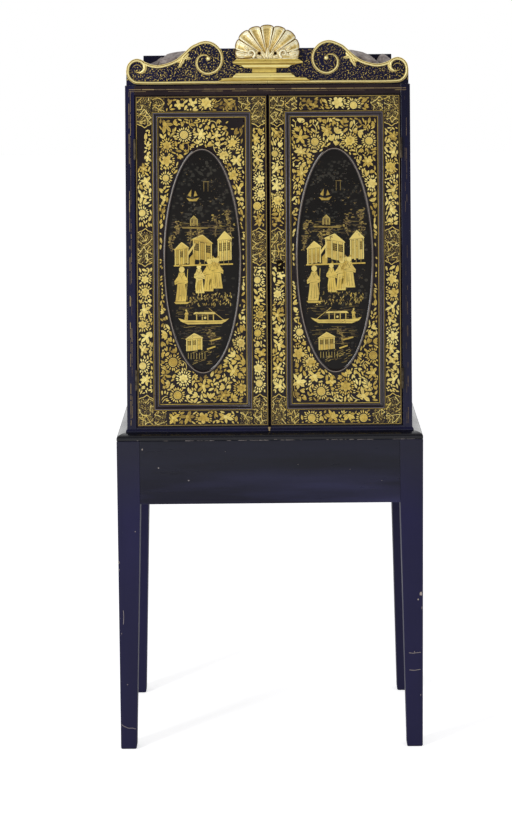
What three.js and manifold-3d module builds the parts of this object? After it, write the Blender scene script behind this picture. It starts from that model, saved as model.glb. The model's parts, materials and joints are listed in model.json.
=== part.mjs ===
// A lacquered two-door cabinet with a scrolled and shell-topped crest, standing on a square-legged stand.
// Millimetres, +Z up, the doors face -Y, and the origin is on the floor under the middle of the stand.

import * as THREE from 'three';
import { mergeVertices } from 'three/addons/utils/BufferGeometryUtils.js';
import Module from 'manifold-3d';

const wasm = await Module();
wasm.setup();

// General clearances
const seatGap = 0.3;
const overrun = 4;

// Stand
const standWidth = 660;
const standDepth = 424;
const apronTop = 664;
const standBoardThickness = 8;
const ledgeWidth = 21;
const ledgeHeight = 15;
const ledgeUpright = 6.5;
const ledgeUnderRound = 1.2;
const ledgeCaseGap = 1;
const ledgeSteps = 6;
const apronHeight = 136;
const apronThickness = 25;
const apronTenonLength = 18;
const apronTenonThickness = 10;
const apronTenonShoulder = 12;
const legSize = 50;
const footSize = 34;
const footOuterLean = 5;
const footChamfer = 2.5;
const bearerWidth = 44;
const bearerHeight = 22;

// Case
const caseHeight = 755;
const sideThickness = 20;
const caseTopThickness = 21;
const caseBottomThickness = 17;
const caseBackThickness = 10;
const doorStopHeight = 6;
const shelfThickness = 12;
const shelfSetback = 10;
const housingDepth = 6;
const housingStop = 12;
const footBeadHeight = 6;
const footBeadProjection = 2.6;

// Doors
const doorThickness = 22;
const doorHingeGap = 1.2;
const doorMeetingGap = 3;
const doorTopGap = 1;
const doorEdgeChamfer = 1.4;
const hingeStileWidth = 38;
const meetingStileWidth = 36;
const railWidth = 36.5;
const doorTenonLength = 20;
const doorTenonShoulder = 6;
const panelThickness = 9;
const panelSetback = 4;
const panelTongue = 5;
const panelMouldingWidth = 9.5;
const panelMouldingHeight = 7.2;
const ovalSideMargin = 20.2;
const ovalEndMargin = 76.2;
const ovalBeadWidth = 7;
const ovalBeadHeight = 4;
const ovalSegments = 56;

// Hinges
const hingeLength = 44;
const hingeDrop = 115;
const hingeRise = 102;
const hingeLeafDepth = 19;
const hingeLeafThickness = 1;
const hingePocketDepth = 1.2;
const knuckleRadius = 3;
const knuckleFaceGap = 0.2;
const knuckleGap = 0.4;
const knuckleSides = 16;
const hingePinRadius = 1.2;
const hingePinClearance = 0.35;

// Lock on the right-hand door, with its strike in the left-hand one
const keyholeInset = 22.5;
const keyholeRadius = 3.8;
const keyholeSlotWidth = 5;
const keyholeSlotLength = 9;
const keyholeDrop = 9;
const escutcheonWidth = 15;
const escutcheonHeight = 26;
const escutcheonThickness = 1.2;
const lockCaseWidth = 29;
const lockCaseHeight = 46;
const lockCaseDepth = 9;
const lockPlateThickness = 2;
const lockBoltHeight = 9;
const lockBoltThickness = 4;
const lockBoltLength = 24;
const lockBoltSetback = 1;
const lockBoltRise = 12;
const lockBoltThrow = 9;
const strikeThickness = 1;
const strikeWidth = 9;
const strikeHeight = 24;
const boltClearance = 0.4;

// Flush bolts on the back of the left-hand door
const flushBoltWidth = 7;
const flushBoltThickness = 4;
const flushBoltLength = 62;
const flushBoltSetback = 1;
const flushBoltInset = 0.5;
const flushBoltThrow = 6;
const flushKnobRadius = 3.4;
const flushKnobInset = 1.7;
const flushKnobLength = 5;

// Brass nib under the joint of the doors, pinned to the front edge of the bottom board
const nibWidth = 5.4;
const nibStemWidth = 3;
const nibHeight = 8.4;
const nibHeadHeight = 3.2;
const nibThickness = 3.4;
const nibOffset = 1;
const nibPinRadius = 1.3;
const nibPinLength = 7;
const nibPinSides = 12;

// Crest, measured out from the middle or in from the case's side, and up from the top of the case
const crestSetback = 9;
const crestBoardThickness = 14;
const crestBoardInset = 2.5;
const crestBoardTop = 78.5;
const railCentre = 5.2;
const railRunOut = 10;
const bandWidth = 6.4;
const bandHeight = 4.6;
const smallVoluteInset = 26;
const smallVoluteZ = 34;
const smallVoluteRadius = 21;
const bigVoluteX = 131;
const bigVoluteZ = 57.3;
const bigVoluteRadius = 34.5;
const voluteEyeRadius = 4.6;
const sweepLowZ = 40.2;
const sweepLowShare = 0.7;
const bractLength = 26;
const bractDrop = 7;

// Plinth and shell
const plinthBase = 8.8;
const plinthTop = 56;
const plinthWidth = 206;
const plinthDepth = 17;
const shellRadius = 72;
const shellCentreZ = 59.6;
const shellDepth = 21;
const shellFluteDepth = 4.6;
const shellLeafLength = 19;
const shellLeafWidth = 7.4;
const shellLeafHeight = 4.6;
const shellCurlRadius = 5.6;
const shellCurlTube = 3.2;

// Hood and gallery behind the crest
const galleryHeight = 49.5;
const galleryInset = 20;
const galleryThickness = 12;
const hoodHeight = 63;
const hoodInset = 21;
const hoodWall = 9;

// Frame places worked out from the sizes above
const standHalfWidth = standWidth / 2;
const standHalfDepth = standDepth / 2;
const apronBottom = apronTop - apronHeight;
const ledgeInnerX = standHalfWidth - ledgeWidth;
const ledgeInnerY = standHalfDepth - ledgeWidth;
const caseHalfWidth = ledgeInnerX - ledgeCaseGap;
const caseFront = ledgeCaseGap - ledgeInnerY;
const caseBack = ledgeInnerY - ledgeCaseGap;
const caseBase = apronTop + standBoardThickness + seatGap;
const footBeadBase = apronTop + ledgeHeight + seatGap;
const caseTop = caseBase + caseHeight;
const openingHalfWidth = caseHalfWidth - sideThickness;
const openingBottom = caseBase + caseBottomThickness;
const openingTop = caseTop - caseTopThickness;
const doorOuter = openingHalfWidth - doorHingeGap;
const doorInner = doorMeetingGap / 2;
const doorBottom = openingBottom + doorTopGap;
const doorTop = openingTop - doorTopGap;
const doorBackFace = caseFront + doorThickness;
const stopFace = doorBackFace + seatGap;
const panelFront = caseFront + panelSetback;
const panelBack = panelFront + panelThickness;
const keyholeX = doorInner + keyholeInset;
const keyholeZ = (doorBottom + doorTop) / 2 - keyholeDrop;
const crestFace = caseFront + crestSetback;
const crestBase = caseTop + seatGap;

// Solid modelling helpers
function toSolid(geometry) {
  const bare = geometry.clone();
  bare.deleteAttribute('normal');
  bare.deleteAttribute('uv');
  const merged = mergeVertices(bare);
  return new wasm.Manifold(new wasm.Mesh({
    numProp: 3,
    vertProperties: Float32Array.from(merged.attributes.position.array),
    triVerts: Uint32Array.from(merged.index.array),
  }));
}

function toGeometry(solid) {
  const mesh = solid.getMesh();
  const geometry = new THREE.BufferGeometry();
  geometry.setAttribute('position', new THREE.BufferAttribute(Float32Array.from(mesh.vertProperties), 3));
  geometry.setIndex(new THREE.BufferAttribute(Uint32Array.from(mesh.triVerts), 1));
  geometry.computeVertexNormals();
  return geometry;
}

function join(...geometries) {
  return toGeometry(geometries.map(toSolid).reduce((whole, next) => whole.add(next)));
}

function cut(base, ...tools) {
  return toGeometry(tools.map(toSolid).reduce((whole, tool) => whole.subtract(tool), toSolid(base)));
}

// A span from one place to another, low end first
function span(from, to) {
  return [Math.min(from, to), Math.max(from, to)];
}

// The same span on the right (+1) or the left (-1) of the middle
function sideSpan(side, from, to) {
  return span(side * from, side * to);
}

function centred(middle, size) {
  return [middle - size / 2, middle + size / 2];
}

function block([x0, x1], [y0, y1], [z0, z1]) {
  const geometry = new THREE.BoxGeometry(x1 - x0, y1 - y0, z1 - z0);
  return geometry.translate((x0 + x1) / 2, (y0 + y1) / 2, (z0 + z1) / 2);
}

function shapeOf(points) {
  return new THREE.Shape(points.map(([a, b]) => new THREE.Vector2(a, b)));
}

// A prism whose outline is given in Y and Z
function prismAlongX(points, [x0, x1]) {
  const geometry = new THREE.ExtrudeGeometry(shapeOf(points), { depth: x1 - x0, bevelEnabled: false });
  const turn = new THREE.Matrix4().makeBasis(
    new THREE.Vector3(0, 1, 0), new THREE.Vector3(0, 0, 1), new THREE.Vector3(1, 0, 0));
  return geometry.applyMatrix4(turn).translate(x0, 0, 0);
}

// A prism whose outline is given in X and Z
function prismAlongY(points, [y0, y1]) {
  const geometry = new THREE.ExtrudeGeometry(shapeOf(points), { depth: y1 - y0, bevelEnabled: false });
  return geometry.rotateX(Math.PI / 2).translate(0, y1, 0);
}

// A prism whose outline is given in X and Y
function prismAlongZ(points, [z0, z1]) {
  const geometry = new THREE.ExtrudeGeometry(shapeOf(points), { depth: z1 - z0, bevelEnabled: false });
  return geometry.translate(0, 0, z0);
}

function cylinderAlong(axis, radius, [low, high], [a, b], sides) {
  const geometry = new THREE.CylinderGeometry(radius, radius, high - low, sides);
  const middle = (low + high) / 2;
  if (axis === 'x') return geometry.rotateZ(Math.PI / 2).translate(middle, a, b);
  if (axis === 'z') return geometry.rotateX(Math.PI / 2).translate(a, b, middle);
  return geometry.translate(a, middle, b);
}

// A closed surface through rings of points. Open stacks get end caps, closed ones meet their own start
function ringSurface(rings, closed) {
  const count = rings[0].length;
  const positions = rings.flat().flatMap((point) => point.toArray());
  const indices = [];
  const steps = closed ? rings.length : rings.length - 1;
  for (let ring = 0; ring < steps; ring += 1) {
    const here = ring * count;
    const there = ((ring + 1) % rings.length) * count;
    for (let i = 0; i < count; i += 1) {
      const next = (i + 1) % count;
      indices.push(here + i, here + next, there + next, here + i, there + next, there + i);
    }
  }
  if (!closed) {
    const last = (rings.length - 1) * count;
    for (let i = 1; i < count - 1; i += 1) {
      indices.push(0, i + 1, i, last, last + i, last + i + 1);
    }
  }
  return outward(positions, indices);
}

// Turns all the triangles over if together they enclose a negative volume
function outward(positions, indices) {
  const corner = (i) => new THREE.Vector3().fromArray(positions, 3 * i);
  let volume = 0;
  for (let i = 0; i < indices.length; i += 3) {
    volume += corner(indices[i]).dot(corner(indices[i + 1]).cross(corner(indices[i + 2])));
  }
  const faces = volume < 0 ? indices.slice().reverse() : indices;
  const geometry = new THREE.BufferGeometry();
  geometry.setAttribute('position', new THREE.Float32BufferAttribute(positions, 3));
  geometry.setIndex(faces);
  geometry.computeVertexNormals();
  return geometry;
}

function rectangleRing(halfX, [y0, y1], z) {
  return [[-halfX, y0], [halfX, y0], [halfX, y1], [-halfX, y1]].map(([x, y]) => new THREE.Vector3(x, y, z));
}

// Materials
const finishes = {
  standLacquer: { color: 0x24242c, roughness: 0.45, metalness: 0 },
  caseLacquer: { color: 0x1b1b26, roughness: 0.3, metalness: 0 },
  doorLacquer: { color: 0x1d1a1c, roughness: 0.3, metalness: 0 },
  mouldingLacquer: { color: 0x2b2a36, roughness: 0.28, metalness: 0 },
  carvedGilt: { color: 0xc9a84f, roughness: 0.38, metalness: 0.6 },
  bareWood: { color: 0x9c8f88, roughness: 0.8, metalness: 0 },
  insideLacquer: { color: 0x2a1512, roughness: 0.45, metalness: 0 },
  brass: { color: 0xb3955a, roughness: 0.35, metalness: 0.9 },
  iron: { color: 0x6b6762, roughness: 0.5, metalness: 0.8 },
};

const cabinet = new THREE.Group();

function addPart(name, geometry, finish) {
  const mesh = new THREE.Mesh(geometry, new THREE.MeshStandardMaterial(finishes[finish]));
  mesh.name = name;
  cabinet.add(mesh);
  return mesh;
}

// Stand: legs are square down to the aprons, then taper on all four faces to the foot
function squareRing(corner, size, lean, signX, signY, z) {
  const xs = [corner.x - signX * lean, corner.x - signX * (lean + size)];
  const ys = [corner.y - signY * lean, corner.y - signY * (lean + size)];
  return [[xs[0], ys[0]], [xs[1], ys[0]], [xs[1], ys[1]], [xs[0], ys[1]]]
    .map(([x, y]) => new THREE.Vector3(x, y, z));
}

function makeLeg(signX, signY) {
  const corner = new THREE.Vector2(signX * standHalfWidth, signY * standHalfDepth);
  const shaft = ringSurface([
    squareRing(corner, footSize - footChamfer * 2, footOuterLean + footChamfer, signX, signY, 0),
    squareRing(corner, footSize, footOuterLean, signX, signY, footChamfer),
    squareRing(corner, legSize, 0, signX, signY, apronBottom),
    squareRing(corner, legSize, 0, signX, signY, apronTop - seatGap),
  ], false);
  const innerX = signX * (standHalfWidth - legSize);
  const innerY = signY * (standHalfDepth - legSize);
  const mortiseDepth = apronTenonLength + seatGap * 2;
  const tenonZ = [apronBottom + apronTenonShoulder - seatGap, apronTop - apronTenonShoulder + seatGap];
  const mortiseWidth = apronTenonThickness + seatGap * 2;
  const apronMidX = signX * (standHalfWidth - apronThickness / 2);
  const apronMidY = signY * (standHalfDepth - apronThickness / 2);
  const towardsSide = span(innerX - signX * overrun, innerX + signX * mortiseDepth);
  const towardsEnd = span(innerY - signY * overrun, innerY + signY * mortiseDepth);
  return cut(shaft,
    block(towardsSide, centred(apronMidY, mortiseWidth), tenonZ),
    block(centred(apronMidX, mortiseWidth), towardsEnd, tenonZ));
}

for (const [signX, sideName] of [[-1, 'left'], [1, 'right']]) {
  for (const [signY, endName] of [[-1, 'front'], [1, 'back']]) {
    addPart(`leg_${endName}_${sideName}`, makeLeg(signX, signY), 'standLacquer');
  }
}

const apronZ = [apronBottom, apronTop - seatGap];
const apronTenonZ = [apronBottom + apronTenonShoulder, apronTop - apronTenonShoulder];
const apronHalfX = standHalfWidth - legSize - seatGap;
const apronHalfY = standHalfDepth - legSize - seatGap;

// A bearer's end fits a notch in the top edge of the front and back aprons
const bearerNotchDepth = apronThickness / 2;
const bearerX = standWidth / 6;
const bearerNotchX = centred(bearerX, bearerWidth + seatGap * 2);

function makeLongApron(signY) {
  const faceY = signY * standHalfDepth;
  const body = block([-apronHalfX, apronHalfX], span(faceY, faceY - signY * apronThickness), apronZ);
  const tenonY = centred(faceY - signY * apronThickness / 2, apronTenonThickness);
  const tenon = block(centred(0, (apronHalfX + apronTenonLength) * 2), tenonY, apronTenonZ);
  const innerY = faceY - signY * apronThickness;
  const notchY = span(innerY - signY * overrun, innerY + signY * (bearerNotchDepth + seatGap));
  const notchZ = [apronTop - bearerHeight - seatGap * 2, apronTop + overrun];
  return cut(join(body, tenon),
    block(bearerNotchX, notchY, notchZ),
    block(span(-bearerNotchX[0], -bearerNotchX[1]), notchY, notchZ));
}

function makeShortApron(signX) {
  const faceX = signX * standHalfWidth;
  const body = block(span(faceX, faceX - signX * apronThickness), [-apronHalfY, apronHalfY], apronZ);
  const tenonX = centred(faceX - signX * apronThickness / 2, apronTenonThickness);
  return join(body, block(tenonX, centred(0, (apronHalfY + apronTenonLength) * 2), apronTenonZ));
}

addPart('apron_front', makeLongApron(-1), 'standLacquer');
addPart('apron_back', makeLongApron(1), 'standLacquer');
addPart('apron_left', makeShortApron(-1), 'standLacquer');
addPart('apron_right', makeShortApron(1), 'standLacquer');

const bearerHalfY = standHalfDepth - apronThickness + bearerNotchDepth;
const bearerZ = [apronTop - bearerHeight - seatGap, apronTop - seatGap];
for (const [side, name] of [[-1, 'left'], [1, 'right']]) {
  const bearer = block(centred(side * bearerX, bearerWidth), [-bearerHalfY, bearerHalfY], bearerZ);
  addPart(`top_bearer_${name}`, bearer, 'bareWood');
}

// The top board carries the case, and thumb mouldings mitred round it keep the case in its place
addPart('stand_top_board', block([seatGap - ledgeInnerX, ledgeInnerX - seatGap],
  [seatGap - ledgeInnerY, standHalfDepth], [apronTop, apronTop + standBoardThickness]), 'standLacquer');

// Ledge section, out from the case's side of the moulding and up: an upright edge under a quarter round
const ledgeSection = [
  [0, 0], [ledgeWidth - ledgeUnderRound, 0], [ledgeWidth, ledgeUnderRound], [ledgeWidth, ledgeUpright],
  ...Array.from({ length: ledgeSteps }, (_, i) => {
    const angle = ((i + 1) / ledgeSteps) * (Math.PI / 2);
    const out = i + 1 < ledgeSteps ? ledgeWidth * Math.cos(angle) : 0;
    return [out, ledgeUpright + (ledgeHeight - ledgeUpright) * Math.sin(angle)];
  }),
];

const mitreGap = seatGap / 2;

function makeFrontLedge() {
  return ringSurface([-1, 1].map((side) => ledgeSection.map(([out, rise]) => new THREE.Vector3(
    side * (ledgeInnerX + out - mitreGap), -(ledgeInnerY + out), apronTop + rise))), false);
}

function makeSideLedge(side) {
  return ringSurface([0, 1].map((end) => ledgeSection.map(([out, rise]) => {
    const frontY = mitreGap - (ledgeInnerY + out);
    return new THREE.Vector3(side * (ledgeInnerX + out), end ? standHalfDepth : frontY, apronTop + rise);
  })), false);
}

addPart('ledge_moulding_front', makeFrontLedge(), 'standLacquer');
addPart('ledge_moulding_left', makeSideLedge(-1), 'standLacquer');
addPart('ledge_moulding_right', makeSideLedge(1), 'standLacquer');

// Case: the boards are housed in the sides, and a step in the top and bottom stops the doors
const housedHalfX = openingHalfWidth + housingDepth - seatGap;
const boardHalfX = openingHalfWidth - seatGap;
const boardBack = caseBack - caseBackThickness - seatGap;
const housingFront = caseFront + housingStop;
const insideBottom = openingBottom + doorStopHeight;
const insideTop = openingTop - doorStopHeight;
const shelfFront = doorBackFace + shelfSetback;
const nibTop = openingBottom - seatGap * 2;
const nibPinZ = nibTop - nibHeadHeight;
const shelfNames = ['lower', 'upper'];
const shelfRoom = insideTop - insideBottom - shelfThickness * shelfNames.length;
const shelfPitch = shelfRoom / (shelfNames.length + 1) + shelfThickness;
const shelfBottoms = shelfNames.map((_, i) => insideBottom + shelfPitch * (i + 1) - shelfThickness);
const topTongueZ = [openingTop + caseTopThickness / 4, caseTop - caseTopThickness / 4];
const bottomTongueZ = [caseBase + caseBottomThickness / 4, openingBottom - caseBottomThickness / 8];

const hingeZ = [doorBottom + hingeRise, doorTop - hingeDrop];
const hingePocketY = [caseFront - overrun, caseFront + hingeLeafDepth + seatGap];

function housing(side, [y0, y1], [z0, z1]) {
  return block(sideSpan(side, openingHalfWidth - overrun, openingHalfWidth + housingDepth),
    [y0 - seatGap, y1 + seatGap], [z0 - seatGap, z1 + seatGap]);
}

function hingePocket(side, from, to, z) {
  return block(sideSpan(side, from, to), hingePocketY, centred(z, hingeLength + seatGap * 2));
}

function makeCaseSide(side) {
  const boardX = sideSpan(side, openingHalfWidth, caseHalfWidth);
  const board = block(boardX, [caseFront, caseBack], [caseBase, caseTop]);
  const grooves = [topTongueZ, bottomTongueZ].map((z) => housing(side, [housingFront, boardBack], z));
  for (const z of shelfBottoms) {
    grooves.push(housing(side, [shelfFront + housingStop, boardBack], [z, z + shelfThickness]));
  }
  const pockets = hingeZ.map((z) => hingePocket(
    side, openingHalfWidth - overrun, openingHalfWidth + hingePocketDepth, z));
  return cut(board, ...grooves, ...pockets);
}

addPart('case_side_left', makeCaseSide(-1), 'caseLacquer');
addPart('case_side_right', makeCaseSide(1), 'caseLacquer');

const flushBoltX = -(doorInner + meetingStileWidth / 2);
const flushBoltBack = doorBackFace - flushBoltInset;
const flushBoltY = [flushBoltBack - flushBoltThickness, flushBoltBack];
const flushHoleX = centred(flushBoltX, flushBoltWidth + boltClearance * 2);
const flushHoleY = [flushBoltY[0] - boltClearance, flushBoltY[1] + boltClearance];
const flushReach = flushBoltThrow - flushBoltSetback + boltClearance;

function makeCaseTop() {
  const outline = [
    [caseFront, openingTop], [stopFace, openingTop], [stopFace, insideTop], [boardBack, insideTop],
    [boardBack, caseTop], [caseFront, caseTop],
  ];
  const board = prismAlongX(outline, [-boardHalfX, boardHalfX]);
  const tongue = block([-housedHalfX, housedHalfX], [housingFront, boardBack], topTongueZ);
  const boltHole = block(flushHoleX, flushHoleY, [insideTop - overrun, openingTop + flushReach]);
  return cut(join(board, tongue), boltHole);
}

function makeCaseBottom() {
  const outline = [
    [caseFront, caseBase], [boardBack, caseBase], [boardBack, insideBottom], [stopFace, insideBottom],
    [stopFace, openingBottom], [caseFront, openingBottom],
  ];
  const board = prismAlongX(outline, [-boardHalfX, boardHalfX]);
  const tongue = block([-housedHalfX, housedHalfX], [housingFront, boardBack], bottomTongueZ);
  const boltHole = block(flushHoleX, flushHoleY, [openingBottom - flushReach, insideBottom + overrun]);
  const pinHole = cylinderAlong('y', nibPinRadius + seatGap,
    [caseFront - overrun, caseFront + nibPinLength + seatGap], [-nibOffset, nibPinZ], nibPinSides);
  return cut(join(board, tongue), boltHole, pinHole);
}

addPart('case_top', makeCaseTop(), 'caseLacquer');
addPart('case_bottom', makeCaseBottom(), 'caseLacquer');
addPart('case_back', block([-boardHalfX, boardHalfX], [caseBack - caseBackThickness, caseBack],
  [caseBase, caseTop]), 'caseLacquer');

shelfBottoms.forEach((z, index) => {
  const shelfZ = [z, z + shelfThickness];
  const shelf = join(
    block([-boardHalfX, boardHalfX], [shelfFront, boardBack], shelfZ),
    block([-housedHalfX, housedHalfX], [shelfFront + housingStop, boardBack], shelfZ));
  addPart(`shelf_${shelfNames[index]}`, shelf, 'insideLacquer');
});

// A small bead runs round the front and sides of the case at its foot: shares of its projection and height
const footBeadShares = [[1, 0], [1, 0.33], [0.72, 0.7], [0.12, 1]];

function makeFootBead() {
  const inner = seatGap;
  const outer = seatGap + footBeadProjection;
  const body = ringSurface(footBeadShares.map(([outShare, riseShare]) => {
    const reach = inner + footBeadProjection * outShare;
    const level = footBeadBase + footBeadHeight * riseShare;
    return rectangleRing(caseHalfWidth + reach, [caseFront - reach, caseBack], level);
  }), false);
  const beadZ = [footBeadBase - overrun, footBeadBase + footBeadHeight + overrun];
  const core = block([-caseHalfWidth - inner, caseHalfWidth + inner],
    [caseFront - inner, caseBack + overrun], beadZ);
  const notchY = [caseFront - outer - overrun, caseFront];
  const nibNotch = block(centred(-nibOffset, nibStemWidth + seatGap * 2), notchY,
    [nibTop - nibHeight - seatGap, beadZ[1]]);
  const headNotch = block(centred(-nibOffset, nibWidth + seatGap * 2), notchY,
    [nibTop - nibHeadHeight - seatGap, beadZ[1]]);
  return cut(body, core, nibNotch, headNotch);
}

addPart('foot_bead', makeFootBead(), 'caseLacquer');

function makeNib() {
  const nibY = [caseFront - seatGap - nibThickness, caseFront - seatGap];
  const head = block(centred(-nibOffset, nibWidth), nibY, [nibTop - nibHeadHeight, nibTop]);
  const stem = block(centred(-nibOffset, nibStemWidth), nibY, [nibTop - nibHeight, nibTop]);
  const pin = cylinderAlong('y', nibPinRadius, [nibY[1] - seatGap, caseFront + nibPinLength],
    [-nibOffset, nibPinZ], nibPinSides);
  return join(head, stem, pin);
}

addPart('door_joint_nib', makeNib(), 'brass');

// Doors: two stiles, two rails and a panel in a groove, with a planted moulding and an oval bead
const doorZ = [doorBottom, doorTop];
const hingeStileInner = doorOuter - hingeStileWidth;
const meetingStileInner = doorInner + meetingStileWidth;
const grooveY = [panelFront - seatGap, panelBack + seatGap];
const grooveZ = [doorBottom + railWidth - panelTongue - seatGap, doorTop - railWidth + panelTongue + seatGap];
const doorTenonY = [panelFront, panelBack];
const railSpans = [[doorBottom, doorBottom + railWidth], [doorTop - railWidth, doorTop]];

function tenonHeights([z0, z1]) {
  return [z0 + doorTenonShoulder, z1 - doorTenonShoulder];
}

function makeStile(side, outer, inner) {
  const towards = Math.sign(outer - inner);
  const chamfer = doorEdgeChamfer;
  const edge = outer - towards * chamfer;
  const outline = [
    [side * inner, caseFront], [side * edge, caseFront], [side * outer, caseFront + chamfer],
    [side * outer, doorBackFace], [side * inner, doorBackFace],
  ];
  const grooveSpan = sideSpan(side, inner - towards * overrun, inner + towards * (panelTongue + seatGap));
  const mortiseEnd = inner + towards * (doorTenonLength + seatGap * 2);
  const mortiseSpan = sideSpan(side, inner - towards * overrun, mortiseEnd);
  const mortises = railSpans.map(tenonHeights).map(([z0, z1]) => block(
    mortiseSpan, grooveY, [z0 - seatGap, z1 + seatGap]));
  return cut(prismAlongZ(outline, doorZ), block(grooveSpan, grooveY, grooveZ), ...mortises);
}

function makeRail(side, [z0, z1], panelEdge) {
  const body = block(sideSpan(side, meetingStileInner + seatGap, hingeStileInner - seatGap),
    [caseFront, doorBackFace], [z0, z1]);
  const tenon = block(sideSpan(side, meetingStileInner - doorTenonLength, hingeStileInner + doorTenonLength),
    doorTenonY, tenonHeights([z0, z1]));
  const inwards = panelEdge > (z0 + z1) / 2 ? -1 : 1;
  const groove = block(sideSpan(side, meetingStileInner - doorTenonLength - overrun,
    hingeStileInner + doorTenonLength + overrun), grooveY,
  span(panelEdge - inwards * overrun, panelEdge + inwards * (panelTongue + seatGap)));
  return cut(join(body, tenon), groove);
}

function makeHingeStile(side) {
  const pockets = hingeZ.map((z) => hingePocket(side, doorOuter - hingePocketDepth, doorOuter + overrun, z));
  return cut(makeStile(side, doorOuter, hingeStileInner), ...pockets);
}

const lockBoltZ = keyholeZ + lockBoltRise;
const lockCaseZ = centred(keyholeZ + lockBoltRise / 4, lockCaseHeight);
const lockCaseX = [doorInner, doorInner + lockCaseWidth];
const lockCaseY = [doorBackFace - lockCaseDepth, doorBackFace];
const lockBoltY = centred((lockCaseY[0] + lockCaseY[1]) / 2 - lockPlateThickness / 2, lockBoltThickness);
const lockBoltX = [doorInner + lockBoltSetback, doorInner + lockBoltSetback + lockBoltLength];

function keyholeTool([y0, y1]) {
  const slot = block(centred(keyholeX, keyholeSlotWidth), [y0, y1], [keyholeZ - keyholeSlotLength, keyholeZ]);
  return join(slot, cylinderAlong('y', keyholeRadius, [y0, y1], [keyholeX, keyholeZ], knuckleSides));
}

function makeLockStile() {
  const pocket = block([doorInner - overrun, lockCaseX[1] + seatGap],
    [lockCaseY[0] - seatGap, doorBackFace + overrun], [lockCaseZ[0] - seatGap, lockCaseZ[1] + seatGap]);
  return cut(makeStile(1, doorInner, meetingStileInner), pocket,
    keyholeTool([caseFront - overrun, doorBackFace]));
}

const strikeZ = centred(lockBoltZ, strikeHeight);
const strikeY = centred((lockBoltY[0] + lockBoltY[1]) / 2, strikeWidth);
const strikeHoleY = [lockBoltY[0] - boltClearance, lockBoltY[1] + boltClearance];
const strikeHoleZ = centred(lockBoltZ, lockBoltHeight + boltClearance * 2);
const strikeReach = lockBoltThrow - lockBoltSetback + boltClearance;

const flushEnds = [
  { name: 'flush_bolt_upper', end: doorTop, into: 1 },
  { name: 'flush_bolt_lower', end: doorBottom, into: -1 },
];

// The groove runs on past the bolt by its throw, so that the bolt can be drawn back
function flushGroove({ end, into }) {
  const depth = flushBoltSetback + flushBoltLength + boltClearance;
  const grooveEnds = span(end + into * overrun, end - into * depth);
  return block(flushHoleX, [flushHoleY[0], doorBackFace + overrun], grooveEnds);
}

function makeStrikeStile() {
  const pocket = block(sideSpan(-1, doorInner - overrun, doorInner + strikeThickness + seatGap),
    [strikeY[0] - seatGap, strikeY[1] + seatGap], [strikeZ[0] - seatGap, strikeZ[1] + seatGap]);
  const mortise = block(sideSpan(-1, doorInner - overrun, strikeReach), strikeHoleY, strikeHoleZ);
  return cut(makeStile(-1, doorInner, meetingStileInner), pocket, mortise, ...flushEnds.map(flushGroove));
}

const panelX = [meetingStileInner - panelTongue, hingeStileInner + panelTongue];
const panelZ = [grooveZ[0] + seatGap, grooveZ[1] - seatGap];
const panelMiddleX = (meetingStileInner + hingeStileInner) / 2;
const ovalHalfX = (hingeStileInner - meetingStileInner) / 2 - ovalSideMargin;
const ovalHalfZ = (railSpans[1][0] - railSpans[0][1]) / 2 - ovalEndMargin;
const panelMiddleZ = (doorBottom + doorTop) / 2;
const mouldingFace = panelFront - seatGap;

// Section of the planted moulding: share of its width in from the frame, share of its height off the panel
const panelMouldingShares = [
  [0, 0], [0, 0.62], [0.14, 0.9], [0.38, 1], [0.62, 0.84], [0.86, 0.42], [1, 0.3], [1, 0]];
const ovalBeadShares = [[0, 0], [0.08, 0.5], [0.3, 0.9], [0.5, 1], [0.7, 0.9], [0.92, 0.5], [1, 0]];

function makePanelMoulding(side) {
  const halfX = (hingeStileInner - meetingStileInner) / 2 - seatGap;
  const halfZ = (railSpans[1][0] - railSpans[0][1]) / 2 - seatGap;
  const rings = panelMouldingShares.map(([inShare, riseShare]) => {
    const inset = inShare * panelMouldingWidth;
    const y = mouldingFace - riseShare * panelMouldingHeight;
    return [[-1, -1], [1, -1], [1, 1], [-1, 1]].map(([a, b]) => new THREE.Vector3(
      side * panelMiddleX + a * (halfX - inset), y, panelMiddleZ + b * (halfZ - inset)));
  });
  return ringSurface(rings, true);
}

function makeOvalBead(side) {
  const rings = ovalBeadShares.map(([inShare, riseShare]) => {
    const inset = inShare * ovalBeadWidth;
    const y = mouldingFace - riseShare * ovalBeadHeight;
    return Array.from({ length: ovalSegments }, (_, i) => {
      const angle = (i / ovalSegments) * 2 * Math.PI;
      return new THREE.Vector3(
        side * panelMiddleX + (ovalHalfX - inset) * Math.cos(angle), y,
        panelMiddleZ + (ovalHalfZ - inset) * Math.sin(angle));
    });
  });
  return ringSurface(rings, true);
}

for (const [side, name] of [[-1, 'left'], [1, 'right']]) {
  addPart(`door_${name}_hinge_stile`, makeHingeStile(side), 'doorLacquer');
  addPart(`door_${name}_meeting_stile`, side < 0 ? makeStrikeStile() : makeLockStile(), 'doorLacquer');
  addPart(`door_${name}_top_rail`, makeRail(side, railSpans[1], railSpans[1][0]), 'doorLacquer');
  addPart(`door_${name}_bottom_rail`, makeRail(side, railSpans[0], railSpans[0][1]), 'doorLacquer');
  const panel = block(sideSpan(side, ...panelX), [panelFront, panelBack], panelZ);
  addPart(`door_${name}_panel`, panel, 'doorLacquer');
  addPart(`door_${name}_panel_moulding`, makePanelMoulding(side), 'mouldingLacquer');
  addPart(`door_${name}_oval_bead`, makeOvalBead(side), 'mouldingLacquer');
}

// Butt hinges: the case leaf has the outer knuckles and the pin, the door leaf the middle knuckle
const knuckleY = caseFront - knuckleRadius - knuckleFaceGap;
const knuckleX = openingHalfWidth - doorHingeGap / 2;
const knuckleLength = hingeLength / 3;
const leafY = [caseFront + knuckleFaceGap / 2, caseFront + hingeLeafDepth];

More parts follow.
